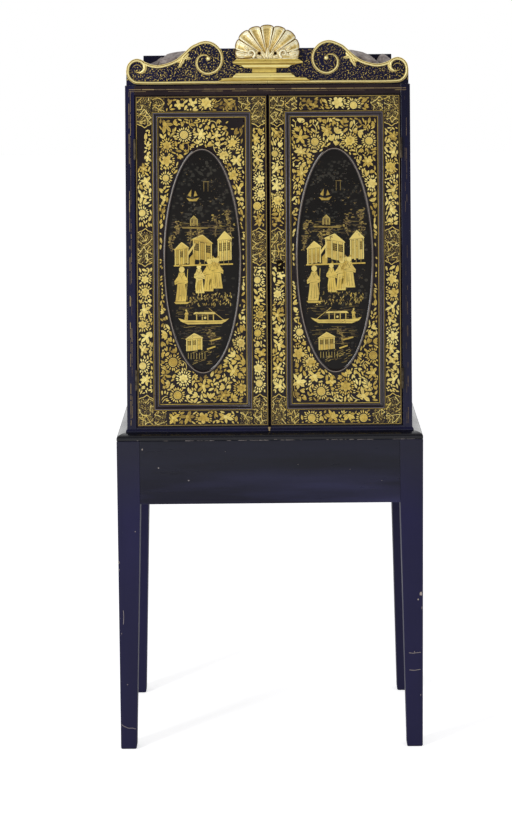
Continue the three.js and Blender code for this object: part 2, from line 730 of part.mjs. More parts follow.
function makeHingeLeaf(side, z, leafX, knuckles) {
  const plate = block(sideSpan(side, ...leafX), leafY, centred(z, hingeLength));
  const pieces = knuckles.flatMap(([low, high]) => [
    block(sideSpan(side, ...leafX), [knuckleY, leafY[0] + hingeLeafThickness], [low, high]),
    cylinderAlong('z', knuckleRadius, [low, high], [side * knuckleX, knuckleY], knuckleSides),
  ]);
  return join(plate, ...pieces);
}

function makeCaseLeaf(side, z) {
  const ends = [[z - hingeLength / 2, z - knuckleLength / 2 - knuckleGap / 2],
    [z + knuckleLength / 2 + knuckleGap / 2, z + hingeLength / 2]];
  const leafX = [openingHalfWidth + hingePocketDepth - hingeLeafThickness - seatGap / 3,
    openingHalfWidth + hingePocketDepth - seatGap / 3];
  const pinPlace = [side * knuckleX, knuckleY];
  const pin = cylinderAlong('z', hingePinRadius, centred(z, hingeLength), pinPlace, knuckleSides);
  return join(makeHingeLeaf(side, z, leafX, ends), pin);
}

function makeDoorLeaf(side, z) {
  const leafX = [doorOuter - hingePocketDepth + seatGap / 3,
    doorOuter - hingePocketDepth + hingeLeafThickness + seatGap / 3];
  const leaf = makeHingeLeaf(side, z, leafX, [centred(z, knuckleLength - knuckleGap)]);
  const bore = cylinderAlong('z', hingePinRadius + hingePinClearance, centred(z, hingeLength),
    [side * knuckleX, knuckleY], knuckleSides);
  return cut(leaf, bore);
}

for (const [side, sideName] of [[-1, 'left'], [1, 'right']]) {
  hingeZ.forEach((z, index) => {
    const place = `${index === 0 ? 'lower' : 'upper'}_${sideName}`;
    addPart(`hinge_case_leaf_${place}`, makeCaseLeaf(side, z), 'brass');
    addPart(`hinge_door_leaf_${place}`, makeDoorLeaf(side, z), 'brass');
  });
}

// Lock, its bolt and keyhole plate
function makeEscutcheon() {
  const halfX = escutcheonWidth / 2;
  const halfZ = escutcheonHeight / 2;
  const corner = escutcheonWidth / 5;
  const middleZ = keyholeZ - keyholeSlotLength / 3;
  const outline = [
    [-halfX + corner, -halfZ], [halfX - corner, -halfZ], [halfX, -halfZ + corner], [halfX, halfZ - corner],
    [halfX - corner, halfZ], [-halfX + corner, halfZ], [-halfX, halfZ - corner], [-halfX, -halfZ + corner],
  ].map(([x, z]) => [keyholeX + x, middleZ + z]);
  const plateY = [caseFront - seatGap - escutcheonThickness, caseFront - seatGap];
  return cut(prismAlongY(outline, plateY), keyholeTool([plateY[0] - overrun, plateY[1] + overrun]));
}

function makeLockCase() {
  const channel = block([lockCaseX[0] - overrun, lockBoltX[1] + boltClearance],
    [lockBoltY[0] - boltClearance, lockBoltY[1] + boltClearance], strikeHoleZ);
  return cut(block(lockCaseX, lockCaseY, lockCaseZ), channel,
    keyholeTool([lockCaseY[0] - overrun, lockCaseY[1] - lockPlateThickness]));
}

addPart('escutcheon', makeEscutcheon(), 'brass');
addPart('lock_case', makeLockCase(), 'iron');
addPart('lock_bolt', block(lockBoltX, lockBoltY, centred(lockBoltZ, lockBoltHeight)), 'brass');
const strikeHoleX = sideSpan(-1, doorInner - overrun, doorInner + strikeThickness + overrun);
addPart('strike_plate', cut(
  block(sideSpan(-1, doorInner, doorInner + strikeThickness), strikeY, strikeZ),
  block(strikeHoleX, strikeHoleY, strikeHoleZ)), 'brass');

for (const { name, end, into } of flushEnds) {
  const tip = end - into * flushBoltSetback;
  const tail = tip - into * (flushBoltLength - boltClearance);
  const knobZ = tail + into * (flushKnobRadius + flushKnobInset);
  const knobY = [flushBoltBack - flushBoltThickness / 2, doorBackFace + flushKnobLength];
  addPart(name, join(
    block(centred(flushBoltX, flushBoltWidth), flushBoltY, span(tip, tail)),
    cylinderAlong('y', flushKnobRadius, knobY, [flushBoltX, knobZ], knuckleSides)), 'brass');
}

// Volutes: shares of the radius, an eighth of a turn apart, from the foot of each and inwards
const smallVoluteShares = [1.37, 1.13, 0.94, 0.95, 0.985, 0.955, 0.78, 0.42, 0.24, 0.2];
const bigVoluteShares = [1.06, 1.018, 0.958, 0.967, 0.987, 0.97, 0.815, 0.567, 0.303, 0.185, 0.13, 0.1, 0.1];
const voluteStep = Math.PI / 4;
const smallVoluteStart = -Math.PI / 2;
const bigVoluteStart = Math.PI / 4;
const boardShoulderShare = 0.8;
const railVoluteShares = [0.2, 8.6];
const railVoluteSteps = 26;
const boardSmallVoluteShares = [2.4, 4.8];
const boardBigVoluteShares = [0.3, 2.1];
const sweepVoluteShares = [0.3, 11];
const sweepVoluteSteps = 42;
const boardVoluteSteps = 8;
const sweepJoinShare = 5;
const smallVoluteX = caseHalfWidth - smallVoluteInset;

// A point on a volute, counted in eighths of a turn from where it starts
function volutePoint(x, z, radius, shares, start, position) {
  const index = Math.min(Math.floor(position), shares.length - 2);
  const share = THREE.MathUtils.lerp(shares[index], shares[index + 1], position - index);
  const angle = start + position * voluteStep;
  return [x + radius * share * Math.cos(angle), z + radius * share * Math.sin(angle)];
}

const smallVolutePoint = (position) => volutePoint(
  smallVoluteX, smallVoluteZ, smallVoluteRadius, smallVoluteShares, smallVoluteStart, position);
const bigVolutePoint = (position) => volutePoint(
  bigVoluteX, bigVoluteZ, bigVoluteRadius, bigVoluteShares, bigVoluteStart, position);

function alongVolute(pointAt, [from, to], steps) {
  return Array.from({ length: steps + 1 }, (_, i) => pointAt(from + ((to - from) * i) / steps));
}

// The sweep hangs between the two volutes, lowest near the small one
const sweepLowX = THREE.MathUtils.lerp(bigVoluteX, smallVoluteX, sweepLowShare);
const sweepStart = smallVolutePoint(sweepJoinShare);
const sweepEnd = bigVolutePoint(sweepVoluteShares[0]);
const sweepRun = sweepLowX - sweepEnd[0];
const sweepRise = sweepEnd[1] - sweepLowZ;
const sweepShares = [
  [0, 0], [0.19, 0.06], [0.33, 0.14], [0.46, 0.25], [0.57, 0.4], [0.67, 0.56], [0.77, 0.74], [0.86, 0.88]];
const sweepPoints = [
  [(sweepStart[0] + sweepLowX) / 2, sweepLowZ + (sweepStart[1] - sweepLowZ) / 4],
  ...sweepShares.map(([run, rise]) => [sweepLowX - sweepRun * run, sweepLowZ + sweepRise * rise]),
];

function onCrest(side, [x, z], y) {
  return new THREE.Vector3(side * x, y, crestBase + z);
}

// A gilt band along a path: two beads with a groove between them, as wide as the given shares of the band say
const bandShares = [[-0.5, 0], [-0.44, 0.6], [-0.2, 0.62], [0, 0.95], [0.22, 1], [0.44, 0.66], [0.5, 0]];

function makeBand(side, points, steps, widthShare) {
  const y = crestFace - seatGap;
  const curve = new THREE.CatmullRomCurve3(
    points.map((point) => onCrest(side, point, y)), false, 'centripetal');
  const rings = Array.from({ length: steps + 1 }, (_, i) => {
    const t = i / steps;
    const centre = curve.getPointAt(t);
    const along = curve.getTangentAt(t);
    const across = new THREE.Vector3(along.z, 0, -along.x).normalize().multiplyScalar(side);
    const width = bandWidth * widthShare(t);
    const rise = bandHeight * Math.sqrt(Math.min(1, widthShare(t)));
    return bandShares.map(([a, b]) => centre.clone().addScaledVector(across, a * width)
      .add(new THREE.Vector3(0, -b * rise, 0)));
  });
  return ringSurface(rings, false);
}

// A leaf is a squashed ball: pointed enough at this size, and closed
const leafRounds = 8;
const leafRows = 6;

function makeLeaf(x, z, angle, length, width, [yFront, yBack]) {
  const ball = new THREE.SphereGeometry(1, leafRounds, leafRows);
  ball.scale(length / 2, (yBack - yFront) / 2, width / 2);
  return ball.rotateY(-angle).translate(x, (yFront + yBack) / 2, crestBase + z);
}

// The bract where the sweep leaves the big volute: place, angle, length and width in shares of its length
const bractShares = [
  [0.06, 0.05, -0.75, 0.85, 0.42], [0.26, -0.42, -1.09, 1.04, 0.38], [-0.23, -0.06, 3.35, 0.6, 0.32],
  [0.38, -0.24, -0.62, 0.56, 0.36],
];
const [bractX, bractTop] = sweepPoints[sweepPoints.length - 3];
const bractZ = bractTop - bractDrop;
const sweepTaperShares = [0.62, 0.45];
const hookSwellShares = [0.93, 0.3];

// The sweep narrows towards the eye of the big volute, and the rail ends in a leaf-shaped hook
function sweepWidthShare(t) {
  return 1 - sweepTaperShares[1] * Math.max(0, (t - sweepTaperShares[0]) / (1 - sweepTaperShares[0]));
}

function railWidthShare(t) {
  const hook = Math.max(0, (t - hookSwellShares[0]) / (1 - hookSwellShares[0]));
  return 1 + hookSwellShares[1] * Math.sin(hook * Math.PI) - hook * hook / 2;
}

const railBandSteps = 44;
const sweepBandSteps = 62;

function makeScrollMoulding(side) {
  const railOuterEnd = smallVoluteX - railRunOut;
  const railPath = [[seatGap / 2, railCentre], [railOuterEnd / 2, railCentre], [railOuterEnd, railCentre],
    ...alongVolute(smallVolutePoint, railVoluteShares, railVoluteSteps)];
  const sweepPath = [sweepStart, ...sweepPoints,
    ...alongVolute(bigVolutePoint, sweepVoluteShares, sweepVoluteSteps)];
  const [eyeX, eyeZ] = bigVolutePoint(sweepVoluteShares[1]);
  const bandBack = crestFace - seatGap;
  const eye = new THREE.SphereGeometry(voluteEyeRadius, leafRounds, leafRows);
  eye.translate(side * eyeX, bandBack - bandHeight, crestBase + eyeZ);
  const leaves = bractShares.map(([x, z, angle, length, width]) => makeLeaf(
    side * (bractX + bractLength * x), bractZ + bractLength * z, side > 0 ? angle : Math.PI - angle,
    bractLength * length, bractLength * width, [bandBack - bandHeight - seatGap * 2, bandBack]));
  return join(makeBand(side, railPath, railBandSteps, railWidthShare),
    makeBand(side, sweepPath, sweepBandSteps, sweepWidthShare), eye, ...leaves);
}

// The board stands square at its ends, up to where the small volutes turn over
function makeCrestBoard() {
  const boardX = caseHalfWidth - crestBoardInset;
  const half = [
    [boardX, 0], [boardX, smallVoluteZ],
    ...alongVolute(smallVolutePoint, boardSmallVoluteShares, boardVoluteSteps), sweepStart, ...sweepPoints,
    ...alongVolute(bigVolutePoint, boardBigVoluteShares, boardVoluteSteps),
    [bigVoluteX - bigVoluteRadius * boardShoulderShare, crestBoardTop],
  ];
  const outline = [...half, ...half.map(([x, z]) => [-x, z]).reverse()]
    .map(([x, z]) => [x, crestBase + z]);
  return prismAlongY(outline, [crestFace, crestFace + crestBoardThickness]);
}

addPart('crest_board', makeCrestBoard(), 'caseLacquer');
addPart('scroll_moulding_left', makeScrollMoulding(-1), 'carvedGilt');
addPart('scroll_moulding_right', makeScrollMoulding(1), 'carvedGilt');

// Plinth under the shell: shares of its height, left and right reach and depth, from the foot up
const plinthShares = [
  [0, 1.02, 0.89, 0.5], [0.06, 0.97, 0.85, 0.5], [0.11, 0.94, 0.82, 0.44], [0.148, 0.76, 0.62, 0.44],
  [0.157, 0.73, 0.585, 0.53], [0.25, 0.7, 0.55, 0.54], [0.3, 0.67, 0.515, 0.5], [0.34, 0.64, 0.48, 0.46],
  [0.35, 0.316, 0.188, 0.33], [0.57, 0.316, 0.188, 0.33], [0.58, 0.48, 0.43, 0.5], [0.62, 0.5, 0.45, 0.54],
  [0.71, 0.545, 0.495, 0.62], [0.73, 0.61, 0.56, 0.72], [0.79, 0.715, 0.71, 0.9], [0.84, 0.73, 0.743, 0.98],
  [0.87, 0.727, 0.74, 0.99], [0.925, 0.69, 0.7, 0.95], [1, 0.645, 0.632, 0.88],
];

function makePlinth() {
  const y = crestFace - seatGap;
  const reach = plinthWidth / 2;
  return ringSurface(plinthShares.map(([rise, left, right, depth]) => {
    const z = crestBase + THREE.MathUtils.lerp(plinthBase, plinthTop, rise);
    const front = y - depth * plinthDepth;
    return [[-left * reach, front], [right * reach, front], [right * reach, y], [-left * reach, y]]
      .map(([x, depthY]) => new THREE.Vector3(x, depthY, z));
  }), false);
}

// Shell: nine dished flutes fan out from the hinge, each ending in a rounded lobe. The valleys between the
// lobes are at shares of a half turn, and their reach and the lobes' rise are shares of the radius
const shellValleyShares = [-0.03, 0.072, 0.181, 0.307, 0.429, 0.571, 0.693, 0.819, 0.928, 1.03];
const shellReachShares = [0.92, 0.965, 1, 0.97, 0.91, 0.91, 0.97, 1, 0.965, 0.92];
const shellLobeShares = [0.03, 0.055, 0.07, 0.06, 0.065, 0.06, 0.07, 0.055, 0.03];
const shellProfileShares = [0.45, 0.58, 0.72, 0.86, 0.95, 1, 0.98, 0.92, 0.8, 0.62, 0.36];
const shellLobeSteps = 6;
const shellHingeShare = 0.07;
const shellFluteGrowth = 1.8;

// One radial cut through the fan: the back, the front from the hinge to the rim, and the back of the rim
function shellCut(lobe, phase) {
  const { lerp } = THREE.MathUtils;
  const hollow = Math.sin(Math.PI * phase);
  const angle = Math.PI * lerp(shellValleyShares[lobe], shellValleyShares[lobe + 1], phase);
  const valley = lerp(shellReachShares[lobe], shellReachShares[lobe + 1], phase);
  const edge = shellRadius * (valley + shellLobeShares[lobe] * hollow);
  const back = crestFace - seatGap;
  const place = (radius, y) => new THREE.Vector3(
    radius * Math.cos(angle), y, crestBase + shellCentreZ + radius * Math.sin(angle));
  const last = shellProfileShares.length - 1;
  const front = shellProfileShares.map((rise, row) => {
    const along = row / last;
    const flute = shellFluteDepth * hollow * Math.min(1, along * shellFluteGrowth) * rise;
    return place(edge * lerp(shellHingeShare, 1, along), back - shellDepth * rise + flute);
  });
  return [place(edge * shellHingeShare, back), ...front, place(edge, back)];
}

// Leaves at the foot of the shell: their turn as a share of a half turn, then length and width as shares
// of the leaf's own sizes. Those at the sides also have a place, as shares of the leaf's length
const palmetteShares = [[0.5, 1.1, 1], [0.34, 1, 0.9], [0.66, 1, 0.9], [0.21, 0.9, 0.84], [0.79, 0.9, 0.84],
  [0.09, 0.8, 0.73], [0.91, 0.8, 0.73]];
const palmetteReachShare = 0.66;
const sideLeafShares = [
  [2.1, 0.42, 0.08, 1.05, 1.1], [2.6, 0.16, -0.02, 1.26, 0.85], [0.74, 0.18, 0.1, 1, 1]];
const shellCurlShares = [0.4, 0.12];
const shellFootShares = [0.86, 0.82];
const shellFootRise = 4.4;

function makeShell() {
  const back = crestFace - seatGap;
  const columns = shellLobeShares.flatMap((_, lobe) => Array.from(
    { length: shellLobeSteps }, (unused, i) => shellCut(lobe, i / shellLobeSteps)));
  const fan = ringSurface([...columns, shellCut(shellLobeShares.length - 1, 1)], false);
  const leafFront = back - shellDepth;
  const shellLeaf = ([x, z], turn, [length, width], leafY) => makeLeaf(shellLeafLength * x,
    shellCentreZ + shellLeafLength * z, turn, shellLeafLength * length, shellLeafWidth * width, leafY);
  const palmette = palmetteShares.map(([turn, ...size]) => {
    const angle = turn * Math.PI;
    const place = [palmetteReachShare * Math.cos(angle), palmetteReachShare * Math.sin(angle)];
    return shellLeaf(place, angle, size, [leafFront, leafFront + shellLeafHeight * 2]);
  });
  const sideLeaves = [-1, 1].flatMap((side) => sideLeafShares.map(([x, z, turn, ...size]) => shellLeaf(
    [side * x, z], (side > 0 ? turn : 1 - turn) * Math.PI, size,
    [leafFront + seatGap, leafFront + shellLeafHeight * 3])));
  const curls = [-1, 1].map((side) => {
    const ring = new THREE.TorusGeometry(shellCurlRadius, shellCurlTube, leafRows, leafRounds);
    return ring.rotateX(Math.PI / 2).translate(side * shellRadius * shellCurlShares[0],
      leafFront + shellLeafHeight, crestBase + shellCentreZ + shellRadius * shellCurlShares[1]);
  });
  const footZ = crestBase + shellCentreZ;
  const [lowShare, highShare] = shellFootShares;
  const foot = prismAlongY([
    [-shellRadius * lowShare, footZ - shellFootRise], [shellRadius * lowShare, footZ - shellFootRise],
    [shellRadius * highShare, footZ + shellFootRise], [-shellRadius * highShare, footZ + shellFootRise],
  ], [back - shellDepth / 2, back]);
  return toGeometry([fan, foot, ...palmette, ...sideLeaves, ...curls].map(toSolid)
    .reduce((whole, next) => whole.add(next))
    .trimByPlane([0, 0, 1], crestBase + plinthTop + seatGap));
}

addPart('crest_plinth', makePlinth(), 'carvedGilt');
addPart('crest_shell', makeShell(), 'carvedGilt');

// Behind the crest: a shaped hood from front to back, closed by a low straight board
const crestBack = crestFace + crestBoardThickness;
const galleryFront = caseBack - galleryThickness;
const galleryHalfWidth = caseHalfWidth - galleryInset;
const hoodHalfWidth = caseHalfWidth - hoodInset;
addPart('crest_back_board', block([-galleryHalfWidth, galleryHalfWidth], [galleryFront, caseBack],
  [crestBase, crestBase + galleryHeight]), 'caseLacquer');

// Hood outline: shares of its half width and height, from its outer foot to the middle. It is uneven with
// age, and its left end has sunk lower than its right one
const hoodRightShares = [
  [1, 0], [1, 0.5], [0.98, 0.66], [0.955, 0.76], [0.93, 0.8], [0.905, 0.73], [0.885, 0.6], [0.876, 0.52],
  [0.86, 0.64], [0.825, 0.76], [0.767, 0.87], [0.683, 0.95], [0.52, 0.99], [0.35, 1],
];
const hoodLeftShares = [
  [1, 0], [1, 0.44], [0.93, 0.52], [0.875, 0.64], [0.858, 0.74], [0.842, 0.71], [0.832, 0.6], [0.822, 0.64],
  [0.812, 0.84], [0.77, 0.89], [0.73, 0.92], [0.67, 0.95], [0.52, 0.99], [0.35, 1],
];
const hoodInsideShares = [
  [1, 0], [1, 0.36], [0.955, 0.42], [0.91, 0.44], [0.88, 0.4], [0.84, 0.46], [0.75, 0.7], [0.5, 0.83]];

function makeHood() {
  const innerHalf = hoodHalfWidth - hoodWall;
  const right = hoodRightShares.map(([x, z]) => [x * hoodHalfWidth, z * hoodHeight]);
  const left = hoodLeftShares.map(([x, z]) => [-x * hoodHalfWidth, z * hoodHeight]);
  const inside = hoodInsideShares.map(([x, z]) => [x * innerHalf, z * hoodHeight]);
  const mirrored = inside.map(([x, z]) => [-x, z]);
  const outline = [...right, ...left.reverse(), ...mirrored, ...inside.reverse()]
    .map(([x, z]) => [x, crestBase + z]);
  return prismAlongY(outline, [crestBack + seatGap, galleryFront - seatGap]);
}

addPart('crest_hood', makeHood(), 'bareWood');

export default cabinet;
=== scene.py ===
import bpy
import json
import math
import random
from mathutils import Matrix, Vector, noise


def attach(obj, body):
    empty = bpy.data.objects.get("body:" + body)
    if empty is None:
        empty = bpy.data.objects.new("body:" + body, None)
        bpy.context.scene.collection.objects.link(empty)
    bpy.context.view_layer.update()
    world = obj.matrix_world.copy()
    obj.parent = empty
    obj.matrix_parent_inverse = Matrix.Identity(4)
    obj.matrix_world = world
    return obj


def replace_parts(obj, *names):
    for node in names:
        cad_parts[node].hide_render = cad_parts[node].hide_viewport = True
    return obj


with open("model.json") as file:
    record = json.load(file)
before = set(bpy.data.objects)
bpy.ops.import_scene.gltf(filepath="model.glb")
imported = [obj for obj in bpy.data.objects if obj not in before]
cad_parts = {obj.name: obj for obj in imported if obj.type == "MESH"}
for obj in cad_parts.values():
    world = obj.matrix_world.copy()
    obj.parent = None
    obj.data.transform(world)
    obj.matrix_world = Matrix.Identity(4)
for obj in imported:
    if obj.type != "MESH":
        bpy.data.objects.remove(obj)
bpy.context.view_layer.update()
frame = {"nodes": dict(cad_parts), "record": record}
nodes = frame["nodes"]
print("frame loaded", len(nodes), "nodes")


# camera, fitted to the corners of the stand and the case
camera = {"place": (0.0038, -5.1285, 1.6933), "turn": (90, 0.398, -0.46), "lens": 100.7,
          "shiftX": -0.0376, "shiftY": -0.547}
bpy.ops.object.camera_add(location=camera["place"], rotation=[math.radians(a) for a in camera["turn"]])
cameraObject = bpy.context.object
cameraObject.data.lens = camera["lens"]
cameraObject.data.shift_x = camera["shiftX"]
cameraObject.data.shift_y = camera["shiftY"]
bpy.context.scene.camera = cameraObject
bpy.context.scene.view_settings.view_transform = "Standard"


# helpers for nodes: a socket, by name or number, gets a value or the output that feeds it
def plug(tree, node, sockets):
    for socket, value in sockets.items():
        if isinstance(value, bpy.types.NodeSocket):
            tree.links.new(value, node.inputs[socket])
        else:
            node.inputs[socket].default_value = value


def addNode(tree, kind, sockets={}, **settings):
    node = tree.nodes.new("ShaderNode" + kind)
    for name, value in settings.items():
        setattr(node, name, value)
    plug(tree, node, sockets)
    return node


def freshMaterial(name):
    material = bpy.data.materials.new(name)
    material.use_nodes = True
    tree = material.node_tree
    tree.nodes.clear()
    shader = addNode(tree, "BsdfPrincipled")
    addNode(tree, "OutputMaterial", {"Surface": shader.outputs["BSDF"]})
    return material, tree, shader


def objectPoint(tree, scale=(1, 1, 1)):
    source = addNode(tree, "TexCoord").outputs["Object"]
    return addNode(tree, "Mapping", {"Vector": source, "Scale": scale}).outputs["Vector"]


def noiseValue(tree, point, scale, detail=4, roughness=0.55):
    sockets = {"Vector": point, "Scale": scale, "Detail": detail, "Roughness": roughness}
    return addNode(tree, "TexNoise", sockets).outputs["Fac"]


def ramp(tree, value, *stops):
    # each stop is a position with a colour or a level of grey
    node = addNode(tree, "ValToRGB", {"Fac": value})
    elements = node.color_ramp.elements
    while len(elements) < len(stops):
        elements.new(0.5)
    for element, (position, colour) in zip(elements, stops):
        element.position = position
        element.color = (*colour, 1) if isinstance(colour, tuple) else (colour, colour, colour, 1)
    return node.outputs["Color"]


def blend(tree, amount, first, second):
    return addNode(tree, "Mix", {"Factor": amount, 6: first, 7: (*second, 1)}, data_type="RGBA").outputs[2]


def bump(tree, height, strength, distance):
    return addNode(tree, "Bump", {"Strength": strength, "Distance": distance, "Height": height}).outputs["Normal"]


def toneValue(tree):
    return addNode(tree, "Attribute", attribute_name="tone").outputs["Fac"]


def srgb(code):
    parts = [int(code[i:i + 2], 16) / 255 for i in (0, 2, 4)]
    return tuple(p / 12.92 if p <= 0.04045 else ((p + 0.055) / 1.055) ** 2.4 for p in parts)


caseInside = {"middle": (0, 0.0055, 1.0478), "half": (0.2883, 0.175, 0.3530)}


def insideCase(tree):
    # 1 inside the box of the case's inner faces, 0 outside
    spot = addNode(tree, "TexCoord").outputs["Object"]
    for operation, amount in (("SUBTRACT", caseInside["middle"]), ("DIVIDE", caseInside["half"]),
                              ("ABSOLUTE", (0, 0, 0))):
        spot = addNode(tree, "VectorMath", {0: spot, 1: amount}, operation=operation).outputs[0]
    widest, *others = addNode(tree, "SeparateXYZ", {0: spot}).outputs
    for part in others:
        widest = addNode(tree, "Math", {0: widest, 1: part}, operation="MAXIMUM").outputs[0]
    return addNode(tree, "Math", {0: widest, 1: 1}, operation="LESS_THAN").outputs[0]


# lacquer: a dark ground that clouds a little, rubbed through to brown in small places
def lacquer(name, deep, cloudy, rubbed, gloss, rubShare, grain=(1, 1, 1), coat=0.0, above=None, crest=None,
            within=None):
    material, tree, shader = freshMaterial(name)
    point = objectPoint(tree, grain)
    colour = ramp(tree, noiseValue(tree, point, 5.5, 5), (0.35, srgb(deep)), (0.68, srgb(cloudy)))
    if above:  # the colour turns slowly to another one between two heights
        low, high, tint = above
        height = addNode(tree, "SeparateXYZ", {0: objectPoint(tree)}).outputs["Z"]
        colour = blend(tree, ramp(tree, height, (low, 0), (high, 0.75)), colour, srgb(tint))
    if crest:  # a moulding's proud edges get a painted highlight in a pale colour, its quirks stay black
        colour = blend(tree, ramp(tree, toneValue(tree), (0.5, 0), (1, 1)), colour, srgb(crest))
    if within:  # inside the case the boards have the colour of the shelves
        colour = blend(tree, insideCase(tree), colour, srgb(within))
    if coat:
        plug(tree, shader, {"Coat Weight": coat, "Coat Roughness": 0.07})
    rubs = ramp(tree, noiseValue(tree, point, 46, 7, 0.7), (rubShare, 0), (rubShare + 0.035, 1))
    plug(tree, shader, {
        "Base Color": blend(tree, rubs, colour, srgb(rubbed)), "Specular IOR Level": 0.35,
        "Roughness": ramp(tree, noiseValue(tree, point, 14, 6), (0.3, gloss[0]), (0.75, gloss[1])),
        "Normal": bump(tree, noiseValue(tree, point, 120, 5), 0.12, 0.0006)})
    return material


# gilding: bright where thick, browner where the black shows through; each piece's own tone shades it from
# dirt with painted shade in the hollows (0) over plain gold (0.5) to burnished edges with a painted highlight (1)
def gilding(name, bright, middle, worn, wornShare, gloss, metallic, patch, dirtAndShade, burnishAndHighlight):
    material, tree, shader = freshMaterial(name)
    point, tone = objectPoint(tree), toneValue(tree)
    body = ramp(tree, noiseValue(tree, point, patch, 5, 0.6), (0.36, srgb(middle)), (0.62, srgb(bright)))
    wear = ramp(tree, noiseValue(tree, point, patch * 6, 6, 0.65), (wornShare, 0), (wornShare + 0.09, 1))
    dirtyAndShaded = blend(tree, ramp(tree, tone, (0, 1), (0.5, 0)), blend(tree, wear, body, srgb(worn)), srgb(dirtAndShade))
    plug(tree, shader, {
        "Base Color": blend(tree, ramp(tree, tone, (0.5, 0), (1, 1)), dirtyAndShaded, srgb(burnishAndHighlight)), "Metallic": metallic,
        "Roughness": ramp(tree, noiseValue(tree, point, 260, 4), (0.3, gloss), (0.8, gloss + 0.2)),
        "Normal": bump(tree, noiseValue(tree, point, 420, 4), 0.2, 0.0004)})
    return material


def bareWood(name, pale, brown, dark):
    material, tree, shader = freshMaterial(name)
    point = objectPoint(tree, (9, 0.8, 14))
    stops = (0.34, srgb(dark)), (0.47, srgb(brown)), (0.62, srgb(pale))
    plug(tree, shader, {"Base Color": ramp(tree, noiseValue(tree, point, 9, 8, 0.7), *stops), "Roughness": 0.78,
                        "Normal": bump(tree, noiseValue(tree, point, 16, 8, 0.7), 0.55, 0.002)})
    return material


def metal(name, bright, dull, low, high):
    material, tree, shader = freshMaterial(name)
    point = objectPoint(tree)
    plug(tree, shader, {
        "Base Color": ramp(tree, noiseValue(tree, point, 90, 5), (0.35, srgb(dull)), (0.65, srgb(bright))),
        "Roughness": ramp(tree, noiseValue(tree, point, 240, 5), (0.3, low), (0.75, high)), "Metallic": 1,
        "Normal": bump(tree, noiseValue(tree, point, 500, 3), 0.15, 0.0003)})
    return material


finishes = {
    "leg": lacquer("legLacquer", "100e33", "181542", "34304c", (0.34, 0.5), 0.7, (1, 1, 0.3),
                   above=(0.5, 0.64, "21212c")),
    "apron": lacquer("apronLacquer", "0b0a22", "2a294c", "34323c", (0.24, 0.46), 0.69, (0.45, 1, 4),
                     above=(0.53, 0.62, "191a20")),
    "ledge": lacquer("ledgeLacquer", "0c0c11", "17171f", "4a4648", (0.16, 0.3), 0.66, (0.3, 1, 1), 0.3),
    "side": lacquer("caseLacquer", "080824", "131336", "3a3648", (0.2, 0.34), 0.72, (1, 1, 0.5), 0.2, within="34140e"),
    "caseTop": lacquer("caseTopLacquer", "1a1216", "2c1f20", "50403a", (0.2, 0.34), 0.66, within="34140e"),
    "door": lacquer("doorLacquer", "161013", "241b1e", "46362c", (0.2, 0.36), 0.66),
    # the crest colours of these two finishes paint a highlight on the proud edges of the door mouldings
    "moulding": lacquer("mouldingLacquer", "140d0c", "261a17", "4a4044", (0.12, 0.24), 0.72, coat=0.6, crest="b8a898"),
    "panelMoulding": lacquer("panelMouldingLacquer", "120b10", "20161d", "4a4044", (0.26, 0.4), 0.72, coat=0.15,
                             crest="948a96"),
    # the picture's ground turns lighter towards the top of the oval, a painted reflection
    "picture": lacquer("pictureGround", "0b0908", "171310", "34302a", (0.22, 0.36), 0.68, above=(1.06, 1.24, "262620")),
    "inside": lacquer("insideLacquer", "2a0f0b", "3c1710", "5a3020", (0.35, 0.55), 0.7),
    "haze": lacquer("hazePaint", "201f1a", "38342a", "6a5f48", (0.5, 0.7), 0.66),
    "rawEdge": lacquer("rawEdge", "8a8288", "b0a498", "6a5a50", (0.5, 0.7), 0.7),
    "flatGilt": gilding("flatGilt", "e4c65e", "c2a146", "846a30", 0.62, 0.42, 0.3, 26, "664c20", "fae892"),
    "dullGilt": gilding("dullGilt", "a48c44", "7c6836", "4c3c2c", 0.56, 0.5, 0.3, 34, "44343a", "d8c068"),
    "carvedGilt": gilding("carvedGilt", "ecd26e", "caaa4c", "a07a30", 0.63, 0.34, 0.4, 30, "6c4c18", "fff2a6"),
    "shellGilt": gilding("shellGilt", "eed68a", "dcbe6c", "b48c40", 0.66, 0.34, 0.35, 30, "6c4a18", "fff8d6"),
    "paleGilt": gilding("paleGilt", "f0d474", "d2b04e", "a07430", 0.64, 0.34, 0.4, 34, "5c4014", "fff2b0"),
    "wornLine": gilding("wornLine", "7a6444", "5c4a38", "33282a", 0.55, 0.5, 0.1, 60, "2c2226", "b09660"),
    "bareWood": bareWood("bareWood", "b5aaa4", "8c7f7b", "5c4c4c"),
    "hinge": metal("blackenedBrass", "6c6252", "3c362e", 0.3, 0.5),
    "keyPlate": metal("blackenedPlate", "3a3026", "17120f", 0.3, 0.5),
    "brass": metal("agedBrass", "d8c08a", "a88a54", 0.26, 0.46),
    "iron": metal("workedIron", "6a6664", "47423f", 0.4, 0.62),
}
print("finishes made", len(finishes))


# helpers for objects
def activate(piece):
    bpy.ops.object.select_all(action="DESELECT")
    piece.select_set(True)
    bpy.context.view_layer.objects.active = piece


def inEditMode(piece, work):
    activate(piece)
    bpy.ops.object.mode_set(mode="EDIT")
    bpy.ops.mesh.select_all(action="SELECT")
    work()
    bpy.ops.object.mode_set(mode="OBJECT")


def dress(piece, body, slotName, finish):
    piece.data.materials.clear()
    piece.data.materials.append(finishes[finish])
    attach(piece, body)
    return piece


def newPiece(name, points, faces):
    mesh = bpy.data.meshes.new(name)
    mesh.from_pydata(points, [], faces)
    mesh.update()
    piece = bpy.data.objects.new(name, mesh)
    bpy.context.scene.collection.objects.link(piece)
    return piece


def smoothByAngle(degrees):
    bpy.ops.object.shade_smooth_by_angle(angle=math.radians(degrees))


def outwardFaces(piece, smoothAngle=None):
    inEditMode(piece, lambda: bpy.ops.mesh.normals_make_consistent(inside=False))
    if smoothAngle is not None:
        smoothByAngle(smoothAngle)
    return piece


